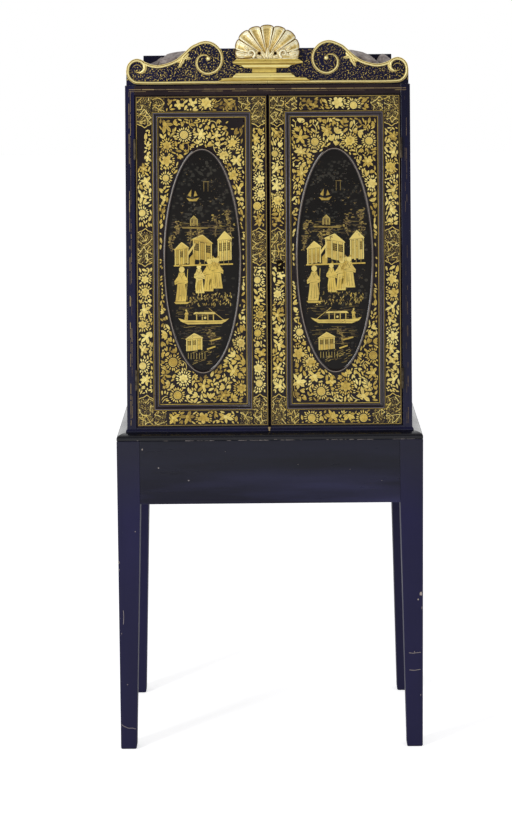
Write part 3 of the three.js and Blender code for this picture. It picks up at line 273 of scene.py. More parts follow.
def bandFaces(rows, count, closed=False):
    # four-sided faces between each ring of points and the next
    return [[i * count + k, i * count + (k + 1) % count, (i + 1) % rows * count + (k + 1) % count,
             (i + 1) % rows * count + k] for i in range(rows if closed else rows - 1) for k in range(count)]


def soften(piece, width, degrees):
    bevel = piece.modifiers.new("soften", "BEVEL")
    bevel.width, bevel.segments = width, 2
    bevel.limit_method, bevel.angle_limit = "ANGLE", math.radians(degrees)


def asPlaced():
    # the primitive that was just added keeps its place in its mesh
    bpy.ops.object.transform_apply(location=True, rotation=True, scale=True)
    return bpy.context.object


# the CAD nodes keep their shape: each gets its finish, and worked wood gets softened edges
nodeFinish = {"hinge_case_leaf": "hinge", "hinge_door_leaf": "hinge", "leg_": "leg", "ledge_": "ledge",
              "case_top": "caseTop", "escutcheon": "keyPlate"}
slotFinish = {"stand_lacquer": "apron", "case_lacquer": "side", "door_lacquer": "door",
              "moulding_lacquer": "moulding", "shelf_lacquer": "inside", "carved_gilt": "carvedGilt",
              "bare_wood": "bareWood", "brass": "brass", "iron": "iron"}
softEdges = {"leg_": 0.0012, "apron_": 0.0008, "ledge_": 0.0006, "door_left_": 0.0005, "door_right_": 0.0005,
             "case_side": 0.0009, "case_top": 0.0007, "case_bottom": 0.0007, "shelf_": 0.0008,
             "crest_board": 0.0008, "crest_back": 0.0009}
for entry in frame["record"]["subparts"]:
    node = nodes[entry["node"]]
    node.data.materials.clear()
    own = next((finish for start, finish in nodeFinish.items() if node.name.startswith(start)), None)
    node.data.materials.append(finishes[own or slotFinish[entry["material_slot"]]])
    width = next((w for start, w in softEdges.items() if node.name.startswith(start)), 0)
    if width and not node.name.endswith(("panel_moulding", "oval_bead")):
        node.modifiers.new("weld", "WELD").merge_threshold = 0.00001
        flats = node.modifiers.new("flats", "DECIMATE")
        flats.decimate_type, flats.angle_limit = "DISSOLVE", math.radians(1)
        soften(node, width, 35)
print("nodes finished")


# flat gilding: a mark is an outline in X and Z with its tone and layer, laid on the black as a thin closed leaf
sheets = {"thickness": 0.0002, "layerRise": 0.00016, "stagger": 0.000006, "staggerCount": 13}


def toned(outlines, tone=0.5, layer=0):
    return [(outline, tone, layer) for outline in outlines]


def setTones(piece, tones):
    attribute = piece.data.attributes.new("tone", "FLOAT", "POINT")
    attribute.data.foreach_set("value", [min(1, max(0, tone)) for tone in tones])


def giltSheet(name, marks, faceY, body, slotName, finish, mirrored=False):
    points, faces, tones = [], [], []
    sign = -1 if mirrored else 1
    for number, (outline, tone, layer) in enumerate(marks):
        count, base = len(outline), len(points)
        area = sum(a[0] * b[1] - b[0] * a[1] for a, b in zip(outline, outline[1:] + outline[:1])) * sign
        ordered = outline if area > 0 else outline[::-1]
        # no two neighbours end at the same height, so that marks which cross stay clean
        rise = sheets["thickness"] + layer * sheets["layerRise"]
        rise += (number % sheets["staggerCount"]) * sheets["stagger"]
        for lift in (rise, 0):
            points += [(sign * x, (faceY(z) if callable(faceY) else faceY) - lift, z) for x, z in ordered]
        tones += [tone] * (2 * count)
        faces.append(list(range(base, base + count)))
        faces.append(list(reversed(range(base + count, base + 2 * count))))
        for i in range(count):
            j = (i + 1) % count
            faces.append([base + j, base + i, base + count + i, base + count + j])
    piece = newPiece(name, points, faces)
    setTones(piece, tones)
    return dress(piece, body, slotName, finish)


def away(x, z, reach, angle):
    return (x + reach * math.cos(angle), z + reach * math.sin(angle))


def leaf(x, z, angle, length, width, belly=0.08):
    shares = [(-0.5, 0), (-0.2, -0.42), (0.15 + belly, -0.5), (0.5, 0), (0.15 + belly, 0.5), (-0.2, 0.42)]
    c, s = math.cos(angle), math.sin(angle)
    return [(x + c * a * length - s * b * width, z + s * a * length + c * b * width) for a, b in shares]


def roundel(x, z, radius, count=10, tall=1.0, turn=0.0):
    return [(x + radius * math.cos(turn + i * 2 * math.pi / count),
             z + radius * tall * math.sin(turn + i * 2 * math.pi / count)) for i in range(count)]


def box(x0, z0, x1, z1):
    return [(x0, z0), (x1, z0), (x1, z1), (x0, z1)]


def stroke(start, end, width, endWidth=None):
    along = Vector((end[0] - start[0], end[1] - start[1]))
    if along.length < 1e-6:
        along = Vector((1e-6, 0))
    across = Vector((-along.y, along.x)).normalized()
    a, b = across * width / 2, across * (width if endWidth is None else endWidth) / 2
    return [(start[0] - a.x, start[1] - a.y), (end[0] - b.x, end[1] - b.y),
            (end[0] + b.x, end[1] + b.y), (start[0] + a.x, start[1] + a.y)]


def strokes(path, width):
    return [stroke(start, end, width) for start, end in zip(path, path[1:])]


def arc(x, z, radius, start, sweep, width, steps=5):
    outer, inner = [], []
    for i in range(steps + 1):
        half = width / 2 * (1 - 0.7 * abs(2 * i / steps - 1) ** 3)
        outer.append(away(x, z, radius + half, start + sweep * i / steps))
        inner.append(away(x, z, radius - half, start + sweep * i / steps))
    return outer + inner[::-1]


def brushStroke(path, width, tip=0.35):
    # full in the middle, thinner at both ends
    left, right = [], []
    for i, (x, z) in enumerate(path):
        before, after = path[max(i - 1, 0)], path[min(i + 1, len(path) - 1)]
        along = Vector((after[0] - before[0], after[1] - before[1])).normalized()
        half = width / 2 * (tip + (1 - tip) * math.sin(math.pi * i / (len(path) - 1)) ** 0.6)
        left.append((x - along.y * half, z + along.x * half))
        right.append((x + along.y * half, z - along.x * half))
    return left + right[::-1]


# a ground remembers what has been laid on it, so that marks keep clear of each other and inside its bounds
class Ground:
    def __init__(self, allowed=None, cell=0.006):
        self.allowed, self.cell, self.cells = allowed, cell, {}

    def clear(self, x, z, radius):
        reach = int((radius + 0.014) / self.cell) + 1
        cx, cz = int(x // self.cell), int(z // self.cell)
        for i in range(cx - reach, cx + reach + 1):
            for j in range(cz - reach, cz + reach + 1):
                for ox, oz, other in self.cells.get((i, j), ()):
                    if (ox - x) ** 2 + (oz - z) ** 2 < (radius + other) ** 2:
                        return False
        return True

    def takes(self, spots, inside=0.0003, gap=0.0, inner=1.0, outer=1.0):
        return all(self.allowed(x, z, r * inner + inside) and self.clear(x, z, r * outer + gap) for x, z, r in spots)

    def lay(self, x, z, radius):
        self.cells.setdefault((int(x // self.cell), int(z // self.cell)), []).append((x, z, radius))

    def layAll(self, spots):
        for spot in spots:
            self.lay(*spot)


foliage = {"disc": (0.0085, 0.0122), "stileDisc": (0.0074, 0.0100), "railDisc": (0.0090, 0.0118),
           "flowerRoom": 0.0092, "flowerTries": 320, "petalGap": 0.0014, "petalLength": (0.0058, 0.0088),
           "petalWidth": (0.0024, 0.0034), "sprayRate": 0.16, "bigLeaf": (0.0105, 0.0175),
           "bigWidth": (0.0046, 0.0072), "stemStep": 0.0034, "stemWidth": 0.0014, "leafRate": 1.3,
           "leafLength": (0.0072, 0.0138), "leafWidth": (0.0028, 0.0042), "gap": 0.00032, "patchiness": 0.5,
           # leaves from one point: the room each needs, belly, tones, and the rib's start, end, width and depth
           "star": ((0, 0, 0.8, 0.6), 0.02, (-0.12, 0.18), (0.2, 0.84, 0.0008, 0.32)),
           "spray": ((0.0003, 0.00032), 0.08, (-0.12, 0.14), (0.15, 0.82, 0.0007, 0.34))}


def toneAt(x, z, rng):
    return 0.48 + foliage["patchiness"] * noise.noise(Vector((x * 30, z * 30, 4))) + rng.uniform(-0.1, 0.1)


def leafSpots(x, z, angle, length, width):
    c, s = math.cos(angle), math.sin(angle)
    return [(x + c * length * t, z + s * length * t, width * 0.5 * share)
            for t, share in ((-0.36, 0.45), (-0.1, 0.9), (0.14, 0.95), (0.38, 0.45))]


def tryLeaf(x, z, angle, length, width, tone, ground, gap=foliage["gap"], belly=0.08):
    spots = leafSpots(x, z, angle, length, width)
    if not ground.takes(spots, gap=gap):
        return []
    ground.layAll(spots)
    return toned([leaf(x, z, angle, length, width, belly)], tone)


def ribbedLeaves(x, z, leaves, kind, tone, rng, ground):
    # big leaves from one point, each with a drawn rib, that may run into each other
    room, belly, tones, (start, end, line, depth) = foliage[kind]
    marks, laid = [], []
    for angle, length, width in leaves:
        middle = away(x, z, length / 2, angle)
        spots = leafSpots(*middle, angle, length, width)
        if ground.takes(spots, *room):
            own = tone + rng.uniform(*tones)
            marks += toned([leaf(*middle, angle, length, width, belly)], own)
            marks += toned([stroke(away(x, z, length * start, angle), away(x, z, length * end, angle), line, 0.0003)],
                           own - depth, 1)
            laid += spots
    ground.layAll(laid)
    return marks


def petalRing(x, z, disc, tone, rng, ground):
    marks = []
    count = max(9, round(2 * math.pi * (disc + 0.005) / 0.0046))
    turn = rng.uniform(0, 6)
    for i in range(count):
        angle = turn + i * 2 * math.pi / count + rng.uniform(-0.05, 0.05)
        length, width = rng.uniform(*foliage["petalLength"]), rng.uniform(*foliage["petalWidth"])
        marks += tryLeaf(*away(x, z, disc + foliage["petalGap"] + length / 2, angle), angle, length, width,
                         tone + 0.1, ground, 0.0001, -0.1)
    return marks


def sunflower(x, z, disc, rng, ground):
    tone = toneAt(x, z, rng)
    marks = toned([roundel(x, z, disc, 14)], tone)
    marks += toned([arc(x, z, disc * 0.76, start, 2.85, 0.0008, 7) for start in (0.2, 3.35)], tone - 0.34, 1)
    marks += toned([arc(x, z, disc * 0.4, rng.uniform(0, 6), 4.6, 0.0007, 7)], tone - 0.3, 1)
    marks += toned([arc(x, z, disc * 0.96, start, 2.6, 0.0008, 7) for start in (0.5, 3.7)], tone + 0.3, 1)
    marks += petalRing(x, z, disc, tone, rng, ground)
    ground.lay(x, z, disc)
    return marks


def blossom(x, z, size, rng, ground):
    # a rose seen from the side: lobes that run into each other round a heart
    tone = toneAt(x, z, rng)
    marks = toned([roundel(x, z, size * 0.72, 11, rng.uniform(0.85, 1.15), rng.uniform(0, 3))], tone)
    lobes = rng.choice([5, 6, 7])
    turn = rng.uniform(0, 6)
    for i in range(lobes):
        angle = turn + i * 2 * math.pi / lobes
        lx, lz = away(x, z, size * 0.74, angle)
        radius = size * rng.uniform(0.32, 0.46)
        if ground.allowed(lx, lz, radius * 0.8):
            marks += toned([roundel(lx, lz, radius, 9, 1.0, angle)], tone + rng.uniform(-0.08, 0.16))
            marks += toned([arc(lx, lz, radius * 0.9, angle - 1.1, 2.2, 0.0007, 5)], tone + 0.34, 1)
    for radius, start in ((0.5, turn), (0.28, turn + 2)):
        marks += toned([arc(x, z, size * radius, start, 4.2, 0.0007, 7)], tone - 0.34, 1)
    ground.lay(x, z, size * 0.98)
    return marks + petalRing(x, z, size * 0.98, tone - 0.04, rng, ground)


def leafStar(x, z, size, rng, ground):
    tone = toneAt(x, z, rng)
    count = rng.choice([5, 6, 7])
    turn = rng.uniform(0, 6)
    leaves = ((turn + i * 2 * math.pi / count + rng.uniform(-0.18, 0.18), size * rng.uniform(1.1, 1.75),
               size * rng.uniform(0.5, 0.68)) for i in range(count))
    return ribbedLeaves(x, z, leaves, "star", tone, rng, ground) + toned([roundel(x, z, size * 0.36, 9)], tone + 0.2, 1)


def butterfly(x, z, size, rng, ground):
    tone = toneAt(x, z, rng)
    turn = rng.uniform(-0.8, 0.8)
    marks = []
    for angle, length, width in ((0.75, 1.1, 0.62), (2.39, 1.1, 0.62), (-0.6, 0.8, 0.5), (3.74, 0.8, 0.5)):
        a = angle + turn
        marks += toned([leaf(*away(x, z, size * length * 0.5, a), a, size * length, size * width, 0.2)],
                       tone + rng.uniform(-0.05, 0.15))
    marks += toned([stroke((x - size * 0.5 * math.sin(turn), z + size * 0.5 * math.cos(turn)),
                           (x + size * 0.45 * math.sin(turn), z - size * 0.45 * math.cos(turn)), size * 0.16)],
                   tone + 0.3, 1)
    ground.lay(x, z, size * 0.8)
    return marks


def leafSpray(x, z, rng, ground, reach):
    tone = toneAt(x, z, rng)
    heading = noise.noise(Vector((x * 22, z * 22, 8))) * 7 + rng.uniform(-0.6, 0.6)
    count = rng.choice([2, 3, 3, 4])
    leaves = ((heading + (i - (count - 1) / 2) * rng.uniform(0.5, 0.66), reach * rng.uniform(0.75, 1.0),
               rng.uniform(*foliage["bigWidth"]) * reach / foliage["bigLeaf"][1]) for i in range(count))
    return ribbedLeaves(x, z, leaves, "spray", tone, rng, ground)


def trailStem(x, z, start, rng, ground):
    # a stem that curls away from a flower, with leaves to either side
    heading, curl = start, rng.choice((-1, 1)) * rng.uniform(0.12, 0.34)
    path, leaves = [(x, z)], []
    for step in range(rng.choice([5, 7, 9])):
        nx, nz = away(*path[-1], foliage["stemStep"], heading)
        if not (ground.allowed(nx, nz, 0.0012) and ground.clear(nx, nz, 0.0008)):
            break
        path.append((nx, nz))
        if step % 2:
            leaves.append((nx, nz, heading + rng.choice((-1, 1)) * rng.uniform(0.7, 1.0)))
        heading += curl
    if len(path) < 4:
        return []
    tone = toneAt(x, z, rng)
    marks = toned([brushStroke(path, foliage["stemWidth"])], tone + 0.1)
    ground.layAll([(px, pz, 0.0007) for px, pz in path[1:]])
    for px, pz, angle in leaves:
        length, width = rng.uniform(*foliage["leafLength"]), rng.uniform(*foliage["leafWidth"])
        marks += tryLeaf(*away(px, pz, length / 2 + 0.0013, angle), angle, length, width,
                         tone + rng.uniform(-0.1, 0.2), ground)
    return marks


def growFoliage(rng, low, high, allowed, discSize, worn=None, lift=0.0, fill=1.0):
    ground = Ground(allowed)
    marks, flowers = [], []
    area = (high[0] - low[0]) * (high[1] - low[1])

    def anywhere():
        return rng.uniform(low[0], high[0]), rng.uniform(low[1], high[1])

    def wornAway(x, z):
        return worn and rng.random() < worn(x, z)

    for _ in range(foliage["flowerTries"]):
        size = rng.uniform(*discSize)
        x, z = anywhere()
        crowded = not allowed(x, z, size * 1.02) or any(
            math.hypot(x - fx, z - fz) <= size + fs + foliage["flowerRoom"] for fx, fz, fs in flowers)
        if crowded or wornAway(x, z):
            continue
        flowers.append((x, z, size))
        kind = rng.random()
        if kind < 0.17:
            marks += sunflower(x, z, size * rng.uniform(0.75, 1), rng, ground)
        elif kind < 0.44:
            marks += blossom(x, z, size, rng, ground)
        elif kind < 0.93:
            marks += leafStar(x, z, size * 1.12, rng, ground)
        else:
            marks += butterfly(x, z, size * 1.15, rng, ground)
    for x, z, size in flowers:
        for _ in range(2):
            angle = rng.uniform(0, 6.28)
            marks += trailStem(*away(x, z, size + 0.0105, angle), angle, rng, ground)
    for _ in range(int(foliage["sprayRate"] * area * 1e6 / 10)):
        x, z = anywhere()
        if not wornAway(x, z):
            marks += leafSpray(x, z, rng, ground, rng.uniform(*foliage["bigLeaf"]))
    tries = int(foliage["leafRate"] * fill * area * 1e6 / 10)
    for attempt in range(tries):
        x, z = anywhere()
        if wornAway(x, z):
            continue
        shrink = 1.0 if attempt < tries * 0.35 else 0.66
        flow = noise.noise(Vector((x * 26, z * 26, low[0] * 9))) * 5.5
        angle = flow + rng.choice((-0.55, 0.55)) + rng.uniform(-0.25, 0.25)
        marks += tryLeaf(x, z, angle, rng.uniform(*foliage["leafLength"]) * shrink,
                         rng.uniform(*foliage["leafWidth"]) * (0.5 + shrink / 2), toneAt(x, z, rng) + 0.04, ground)
    return [(outline, tone + lift, layer) for outline, tone, layer in marks]


# the blocks in the frame: a net of bright lines with thorns over a mottled ground
netWork = {"pitch": 0.0082, "line": 0.0016, "keep": 0.38, "thorn": (0.0025, 0.0045), "blot": (0.0007, 0.0016),
           "shift": 0.42, "kink": 0.0012}


def netBlock(x0, x1, z0, z1, rng):
    bright, dull, spots = [], [], {}
    columns, rows = (max(2, round(size / netWork["pitch"])) for size in (x1 - x0, z1 - z0))

    def shift(onEdge):
        return 0 if onEdge else rng.uniform(-netWork["shift"], netWork["shift"]) * netWork["pitch"]

    def bent(a, b):
        return (a + b) / 2 + rng.uniform(-netWork["kink"], netWork["kink"])

    for i in range(columns + 1):
        for j in range(rows + 1):
            dx, dz = shift(i in (0, columns)), shift(j in (0, rows))
            spots[i, j] = (x0 + (x1 - x0) * i / columns + dx, z0 + (z1 - z0) * j / rows + dz)
    for (i, j), (x, z) in spots.items():
        for di, dj, keep in ((1, 0, 0.3), (0, 1, 0.26), (1, 1, 0.5), (1, -1, 0.5)):
            other = spots.get((i + di, j + dj))
            onBorder = (di == 0 and i in (0, columns)) or (dj == 0 and j in (0, rows))
            if other is None or onBorder or (i + j) % 2 and abs(dj) == di or rng.random() > keep * netWork["keep"] * 2:
                continue
            kink = (bent(x, other[0]), bent(z, other[1]))
            wide = netWork["line"] * rng.uniform(0.7, 1.15)
            bright += toned([stroke((x, z), kink, wide, wide * 0.7), stroke(kink, other, wide * 0.7, wide)],
                            rng.uniform(0.5, 0.95), 1)
        angle, length = rng.uniform(0, 6.28), rng.uniform(*netWork["thorn"])
        tip = away(x, z, length, angle)
        if x0 < tip[0] < x1 and z0 < tip[1] < z1:
            bright += toned([stroke((x, z), tip, netWork["line"], 0.0003)], rng.uniform(0.4, 0.8), 1)
    ground = Ground()
    for _ in range(int((x1 - x0) * (z1 - z0) * 1e6 * 1.1)):
        x, z, radius = rng.uniform(x0, x1), rng.uniform(z0, z1), rng.uniform(*netWork["blot"])
        if x0 + radius < x < x1 - radius and z0 + radius < z < z1 - radius and ground.clear(x, z, radius + 0.00025):
            ground.lay(x, z, radius)
            dull += toned([roundel(x, z, radius, 5, 1.0, rng.uniform(0, 1))], rng.uniform(0.2, 0.85))
    return bright, dull


# one door's measures, for the right-hand door; the left-hand one is the same turned about
doorPlan = {"inner": 0.0015, "outer": 0.2868, "bottom": 0.6903, "top": 1.4053, "openX": (0.0375, 0.2488),
            "openZ": (0.7268, 1.3688), "moulding": 0.0098, "face": -0.190, "panelFace": -0.186,
            "ovalX": 0.14315, "ovalZ": 1.0478, "ovalHalfWidth": 0.08545, "ovalHalfHeight": 0.2448, "edge": 0.0030,
            "lane": 0.0016, "lineGap": 0.0010, "panelGap": 0.0012, "lineRoom": 0.0018, "ovalRoom": 0.0006,
            "blockLong": 0.058, "blockOnRail": 0.026, "blockMiddle": 0.066, "blockRise": 0.030,
            # where the gold has gone from beside the left door's upper hinge
            "bareX": 0.2685, "bareZ": (1.262, 1.342)}
signs = {"right": 1, "left": -1}


def rectangleArea(x0, x1, z0, z1):
    return lambda x, z, r: x0 + r <= x <= x1 - r and z0 + r <= z <= z1 - r


def rectangleLines(x0, x1, z0, z1, width, tone=0.5):
    corners = box(x0, z0, x1, z1)
    return toned(strokes(corners + corners[:1], width), tone)


def pointedEnd(x0, x1, z, lift, rng):
    # the bracket that closes a block towards the flowers
    middle = (x0 + x1) / 2 + rng.uniform(-0.002, 0.002)
    path = [(x0, z - lift * 0.5), (x0 + (middle - x0) * 0.3, z), (x0 + (middle - x0) * 0.55, z + lift * 0.1),
            (middle, z + lift), (x1 - (x1 - middle) * 0.55, z + lift * 0.12), (x1 - (x1 - middle) * 0.3, z),
            (x1, z - lift * 0.45)]
    return toned(strokes(path, 0.0016), 0.62, 1)


def ornamentDoor(side, seed):
    rng = random.Random(seed)
    mirrored = side == "left"
    p = doorPlan
    x0, x1 = p["inner"] + p["edge"], p["outer"] - p["edge"]
    z0, z1 = p["bottom"] + p["edge"], p["top"] - p["edge"]
    (openX0, openX1), (openZ0, openZ1) = p["openX"], p["openZ"]
    lane = p["lane"]
    # thin lines round the frame, outside and inside
    lineX0, lineX1 = openX0 - p["lineGap"], openX1 + p["lineGap"]
    lineZ0, lineZ1 = openZ0 - p["lineGap"], openZ1 + p["lineGap"]
    bright = rectangleLines(x0, x1, z0, z1, 0.0009, 0.3)
    bright += rectangleLines(lineX0, lineX1, lineZ0, lineZ1, 0.0008, 0.42)
    dull = []

    def layNet(xa, xb, za, zb):
        net, mottle = netBlock(xa, xb, za, zb, rng)
        bright.extend(net)
        dull.extend(mottle)

    middleZ, half = (z0 + z1) / 2 + p["blockRise"], p["blockMiddle"] / 2
    low, high = z0 + p["blockLong"], z1 - p["blockLong"]
    for xa, xb in ((x0 + lane, lineX0 - lane), (lineX1 + lane, x1 - lane)):
        for za, zb in ((z0 + lane, low), (middleZ - half, middleZ + half), (high, z1 - lane)):
            layNet(xa, xb, za, zb)
            if za > z0 + 0.02:
                bright += pointedEnd(xa, xb, za - 0.002, -0.006, rng)
            if zb < z1 - 0.02:
                bright += pointedEnd(xa, xb, zb + 0.002, 0.006, rng)
        # flowers and leaves up the stiles
        for za, zb in ((low + 0.009, middleZ - half - 0.009), (middleZ + half + 0.009, high - 0.009)):
            def allowed(x, z, r, area=rectangleArea(xa, xb, za, zb), worn=mirrored and xa > 0.2 and za > 1.05):
                bareLow, bareHigh = p["bareZ"]
                return area(x, z, r) and not (worn and x > p["bareX"] - r and bareLow - r < z < bareHigh + r)
            bright += growFoliage(rng, (xa, za), (xb, zb), allowed, foliage["stileDisc"], lift=0.2, fill=1.3)
    # and along the rails, between the corner blocks
    reach = p["blockOnRail"]
    for za, zb in ((z0 + lane, lineZ0 - lane), (lineZ1 + lane, z1 - lane)):
        layNet(openX0, openX0 + reach, za, zb)
        layNet(openX1 - reach, openX1, za, zb)
        xa, xb = openX0 + reach + 0.003, openX1 - reach - 0.003
        bright += growFoliage(rng, (xa, za), (xb, zb), rectangleArea(xa, xb, za, zb), foliage["railDisc"])

    # the panel outside the oval
    gap, room = p["panelGap"], p["lineRoom"]
    a0, a1 = openX0 + p["moulding"] + gap, openX1 - p["moulding"] - gap
    c0, c1 = openZ0 + p["moulding"] + gap, openZ1 - p["moulding"] - gap
    marks = rectangleLines(a0, a1, c0, c1, 0.0011, 0.45)
    inside = rectangleArea(a0 + room, a1 - room, c0 + room, c1 - room)

    def besideOval(x, z, r):
        dx = (x - p["ovalX"]) / (p["ovalHalfWidth"] + p["ovalRoom"] + r)
        dz = (z - p["ovalZ"]) / (p["ovalHalfHeight"] + p["ovalRoom"] + r)
        return inside(x, z, r) and dx * dx + dz * dz >= 1

    def rubbedCorner(x, z):
        near = max(0.0, 1 - math.hypot((x - a0) / 0.075, (z - c1) / 0.060))
        return min(1, near * (1.8 if mirrored else 0.5))

    marks += growFoliage(rng, (a0, c0), (a1, c1), besideOval, foliage["disc"], rubbedCorner, 0.08, 0.55)
    for name, layer, faceY, finish in (("FrameGilding", bright, p["face"], "flatGilt"),
                                       ("FrameMottle", dull, p["face"], "dullGilt"),
                                       ("PanelGilding", marks, p["panelFace"], "flatGilt")):
        giltSheet(side + name, layer, faceY, "door_" + side, "carved_gilt", finish, mirrored)
    print(side, "door gilding", len(bright), len(dull), len(marks))


ornamentDoor("right", 11)
ornamentDoor("left", 29)


# black mouldings of the doors: sections as shares of their width in from the edge and of their height, with tones that
# place a painted highlight on their proud edges
doorMouldings = {"panelWidth": 0.0095, "panelHeight": 0.0072, "ovalWidth": 0.007, "ovalHeight": 0.0044, "gap": 0.0003,
                 "ovalSteps": 168,
                 "panelSection": ((0, 0, 0), (0, 0.72, 0), (0.03, 0.86, 0), (0.08, 0.95, 0.5), (0.15, 1, 1),
                                  (0.22, 0.96, 0.3), (0.27, 0.86, 0), (0.3, 0.7, 0), (0.34, 0.62, 0), (0.43, 0.59, 0),
                                  (0.52, 0.5, 0), (0.61, 0.4, 0), (0.7, 0.34, 0), (0.77, 0.33, 0), (0.81, 0.4, 0.5),
                                  (0.87, 0.44, 1), (0.93, 0.4, 0.3), (0.98, 0.28, 0), (1, 0.14, 0), (1, 0, 0)),
                 "ovalSection": ((0, 0, 0), (0.02, 0.48, 0), (0.1, 0.74, 0), (0.22, 0.842, 0.15), (0.38, 0.93, 0.5),
                                 (0.5, 0.96, 1), (0.62, 0.93, 0.3), (0.78, 0.842, 0), (0.9, 0.74, 0),
                                 (0.98, 0.48, 0), (1, 0, 0))}


def ringMoulding(side, name, kind, ringAt, smoothAngle, finish):
    # one ring of points for each step round the section; the last joins the first
    m, section = doorMouldings, doorMouldings[kind + "Section"]
    back = doorPlan["panelFace"] - m["gap"]
    points, tones = [], []
    for share, rise, tone in section:
        ring = ringAt(share * m[kind + "Width"])
        points += [(x, back - rise * m[kind + "Height"], z) for x, z in ring]
        tones += [tone] * len(ring)
    piece = newPiece(side + name, points, bandFaces(len(section), len(ring), True))
    setTones(outwardFaces(piece, smoothAngle), tones)
    return dress(piece, "door_" + side, "moulding_lacquer", finish)


def mouldDoor(side):
    p, gap = doorPlan, doorMouldings["gap"]
    x, middleZ = signs[side] * p["ovalX"], sum(p["openZ"]) / 2
    halfX, halfZ = ((high - low) / 2 - gap for low, high in (p["openX"], p["openZ"]))

    def panelRing(inset):
        return [(x + u * (halfX - inset), middleZ + v * (halfZ - inset)) for u, v in box(-1, -1, 1, 1)]

    def ovalRing(inset):
        turns = [i * 2 * math.pi / doorMouldings["ovalSteps"] for i in range(doorMouldings["ovalSteps"])]
        return [(x + (p["ovalHalfWidth"] - inset) * math.cos(turn),
                 p["ovalZ"] + (p["ovalHalfHeight"] - inset) * math.sin(turn)) for turn in turns]
    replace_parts(ringMoulding(side, "PanelMoulding", "panel", panelRing, 40, "panelMoulding"),
                f"door_{side}_panel_moulding")
    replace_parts(ringMoulding(side, "OvalBead", "oval", ovalRing, 12, "moulding"), f"door_{side}_oval_bead")


mouldDoor("right")
mouldDoor("left")
print("doors moulded")


# landscape in the ovals, in millimetres from the middle of each: terrace, pavilions, walkers, boat and jetty
def houseMarks(x, z, width, wall, roof, rng, shear=0.0):
    half, top = width / 2, z + wall
    tone = rng.uniform(0.42, 0.66)
    gable = ((-1.22, 0), (-0.5, 0.62), (0, 1), (0.5, 0.62), (1.22, 0), (1.05, -0.14), (-1.05, -0.14))
    marks = toned([[(x + half * u, top + roof * v) for u, v in gable]], tone + 0.1)
    marks += toned([stroke((x, top + roof * 0.9), (x + half * u, top + roof * 0.06), 0.9) for u in (-1.1, 1.1)],
                   0.95, 1)
    marks += toned([stroke((x - half, z + wall * 0.98), (x + half, z + wall * 0.98), 0.8)], 0.1, 1)
    posts = 3 if width > 26 else 2
    places = [x - half + width * i / posts for i in range(posts + 1)]
    marks += toned([box(px - 1.3, z, px + 1.3, z + wall * 0.95) for px in places], tone + 0.2)
    for left, right in ((a + 2.0, b - 2.0) for a, b in zip(places, places[1:])):
        middle = (left + right) / 2
        if rng.random() < 0.55:  # an opening with a lattice
            marks += toned([box(left, z, right, z + wall * 0.46),
                            box(left, z + wall * 0.84, right, z + wall * 0.95)], tone)
            for k in range(1, 4):
                lx, lz = left + (right - left) * k / 4, z + wall * (0.46 + 0.38 * k / 4)
                marks += toned([stroke((lx, z + wall * 0.46), (lx, z + wall * 0.84), 0.5),
                                stroke((left, lz), (right, lz), 0.5)], tone - 0.1)
        else:  # a panelled door
            marks += toned([box(left, z + wall * 0.06, right, z + wall * 0.92)], tone - 0.06)
            marks += toned([stroke((left + 1, z + wall * 0.5), (right - 1, z + wall * 0.5), 0.7),
                            stroke((middle, z + wall * 0.1), (middle, z + wall * 0.88), 0.6)], 0.12, 1)
    return [([(px, pz + shear * (px - x)) for px, pz in outline], own, layer) for outline, own, layer in marks]


def walkerMarks(x, z, tall, lean, rng):
    t = tall / 60
    tone = rng.uniform(0.5, 0.75)

    def put(points):
        return [(x + lean * px * t + 0.04 * lean * pz, z + pz * t) for px, pz in points]
    marks = toned([put([(-9, 0), (8, 0), (8.5, 14), (6, 28), (10.5, 31), (9.5, 37), (5.5, 42), (4.6, 47), (-4.2, 47),
                        (-6, 41), (-11.5, 33), (-10.5, 27), (-6.4, 29), (-7.4, 14)])], tone)
    # folds of the robe, its sash and collar
    for fold in (((-4, 3), (-2.5, 26)), ((1, 2), (1.5, 26)), ((5, 4), (4, 22)), ((-5.5, 29), (5.5, 30.5)),
                 ((-3.6, 45), (1.4, 36)), ((4, 45.4), (-0.4, 38)), ((-9.6, 30.5), (-5, 33)), ((9, 33.5), (4.6, 35))):
        marks += toned([stroke(*put(fold), 0.9, 0.4)], 0.08, 1)
    marks += toned([roundel(x + lean * 1.6 * t, z + 52 * t, 4.6 * t, 9, 1.12)], tone + 0.15)
    return marks + toned([roundel(x - lean * 0.6 * t, z + 58.4 * t, 2.1 * t, 6)], tone - 0.3, 1)


def treeMarks(x, z, tall, rng, spread):
    marks = []
    for step in range(6):
        nx, nz = x + rng.uniform(-3.5, 3.5), z + tall / 6
        marks += toned([stroke((x, z), (nx, nz), 1.9 - step * 0.2)], 0.3)
        for _ in range(7 if step > 1 else 2):
            lx, lz = nx + rng.uniform(-spread, spread) * (0.4 + step / 8), nz + rng.uniform(-5, 5)
            marks += toned([leaf(lx, lz, rng.uniform(-0.5, 0.5) + (0 if lx > nx else math.pi), rng.uniform(4, 7),
                                 rng.uniform(1.5, 2.3))], rng.uniform(0.1, 0.7))
        x, z = nx, nz
    return marks


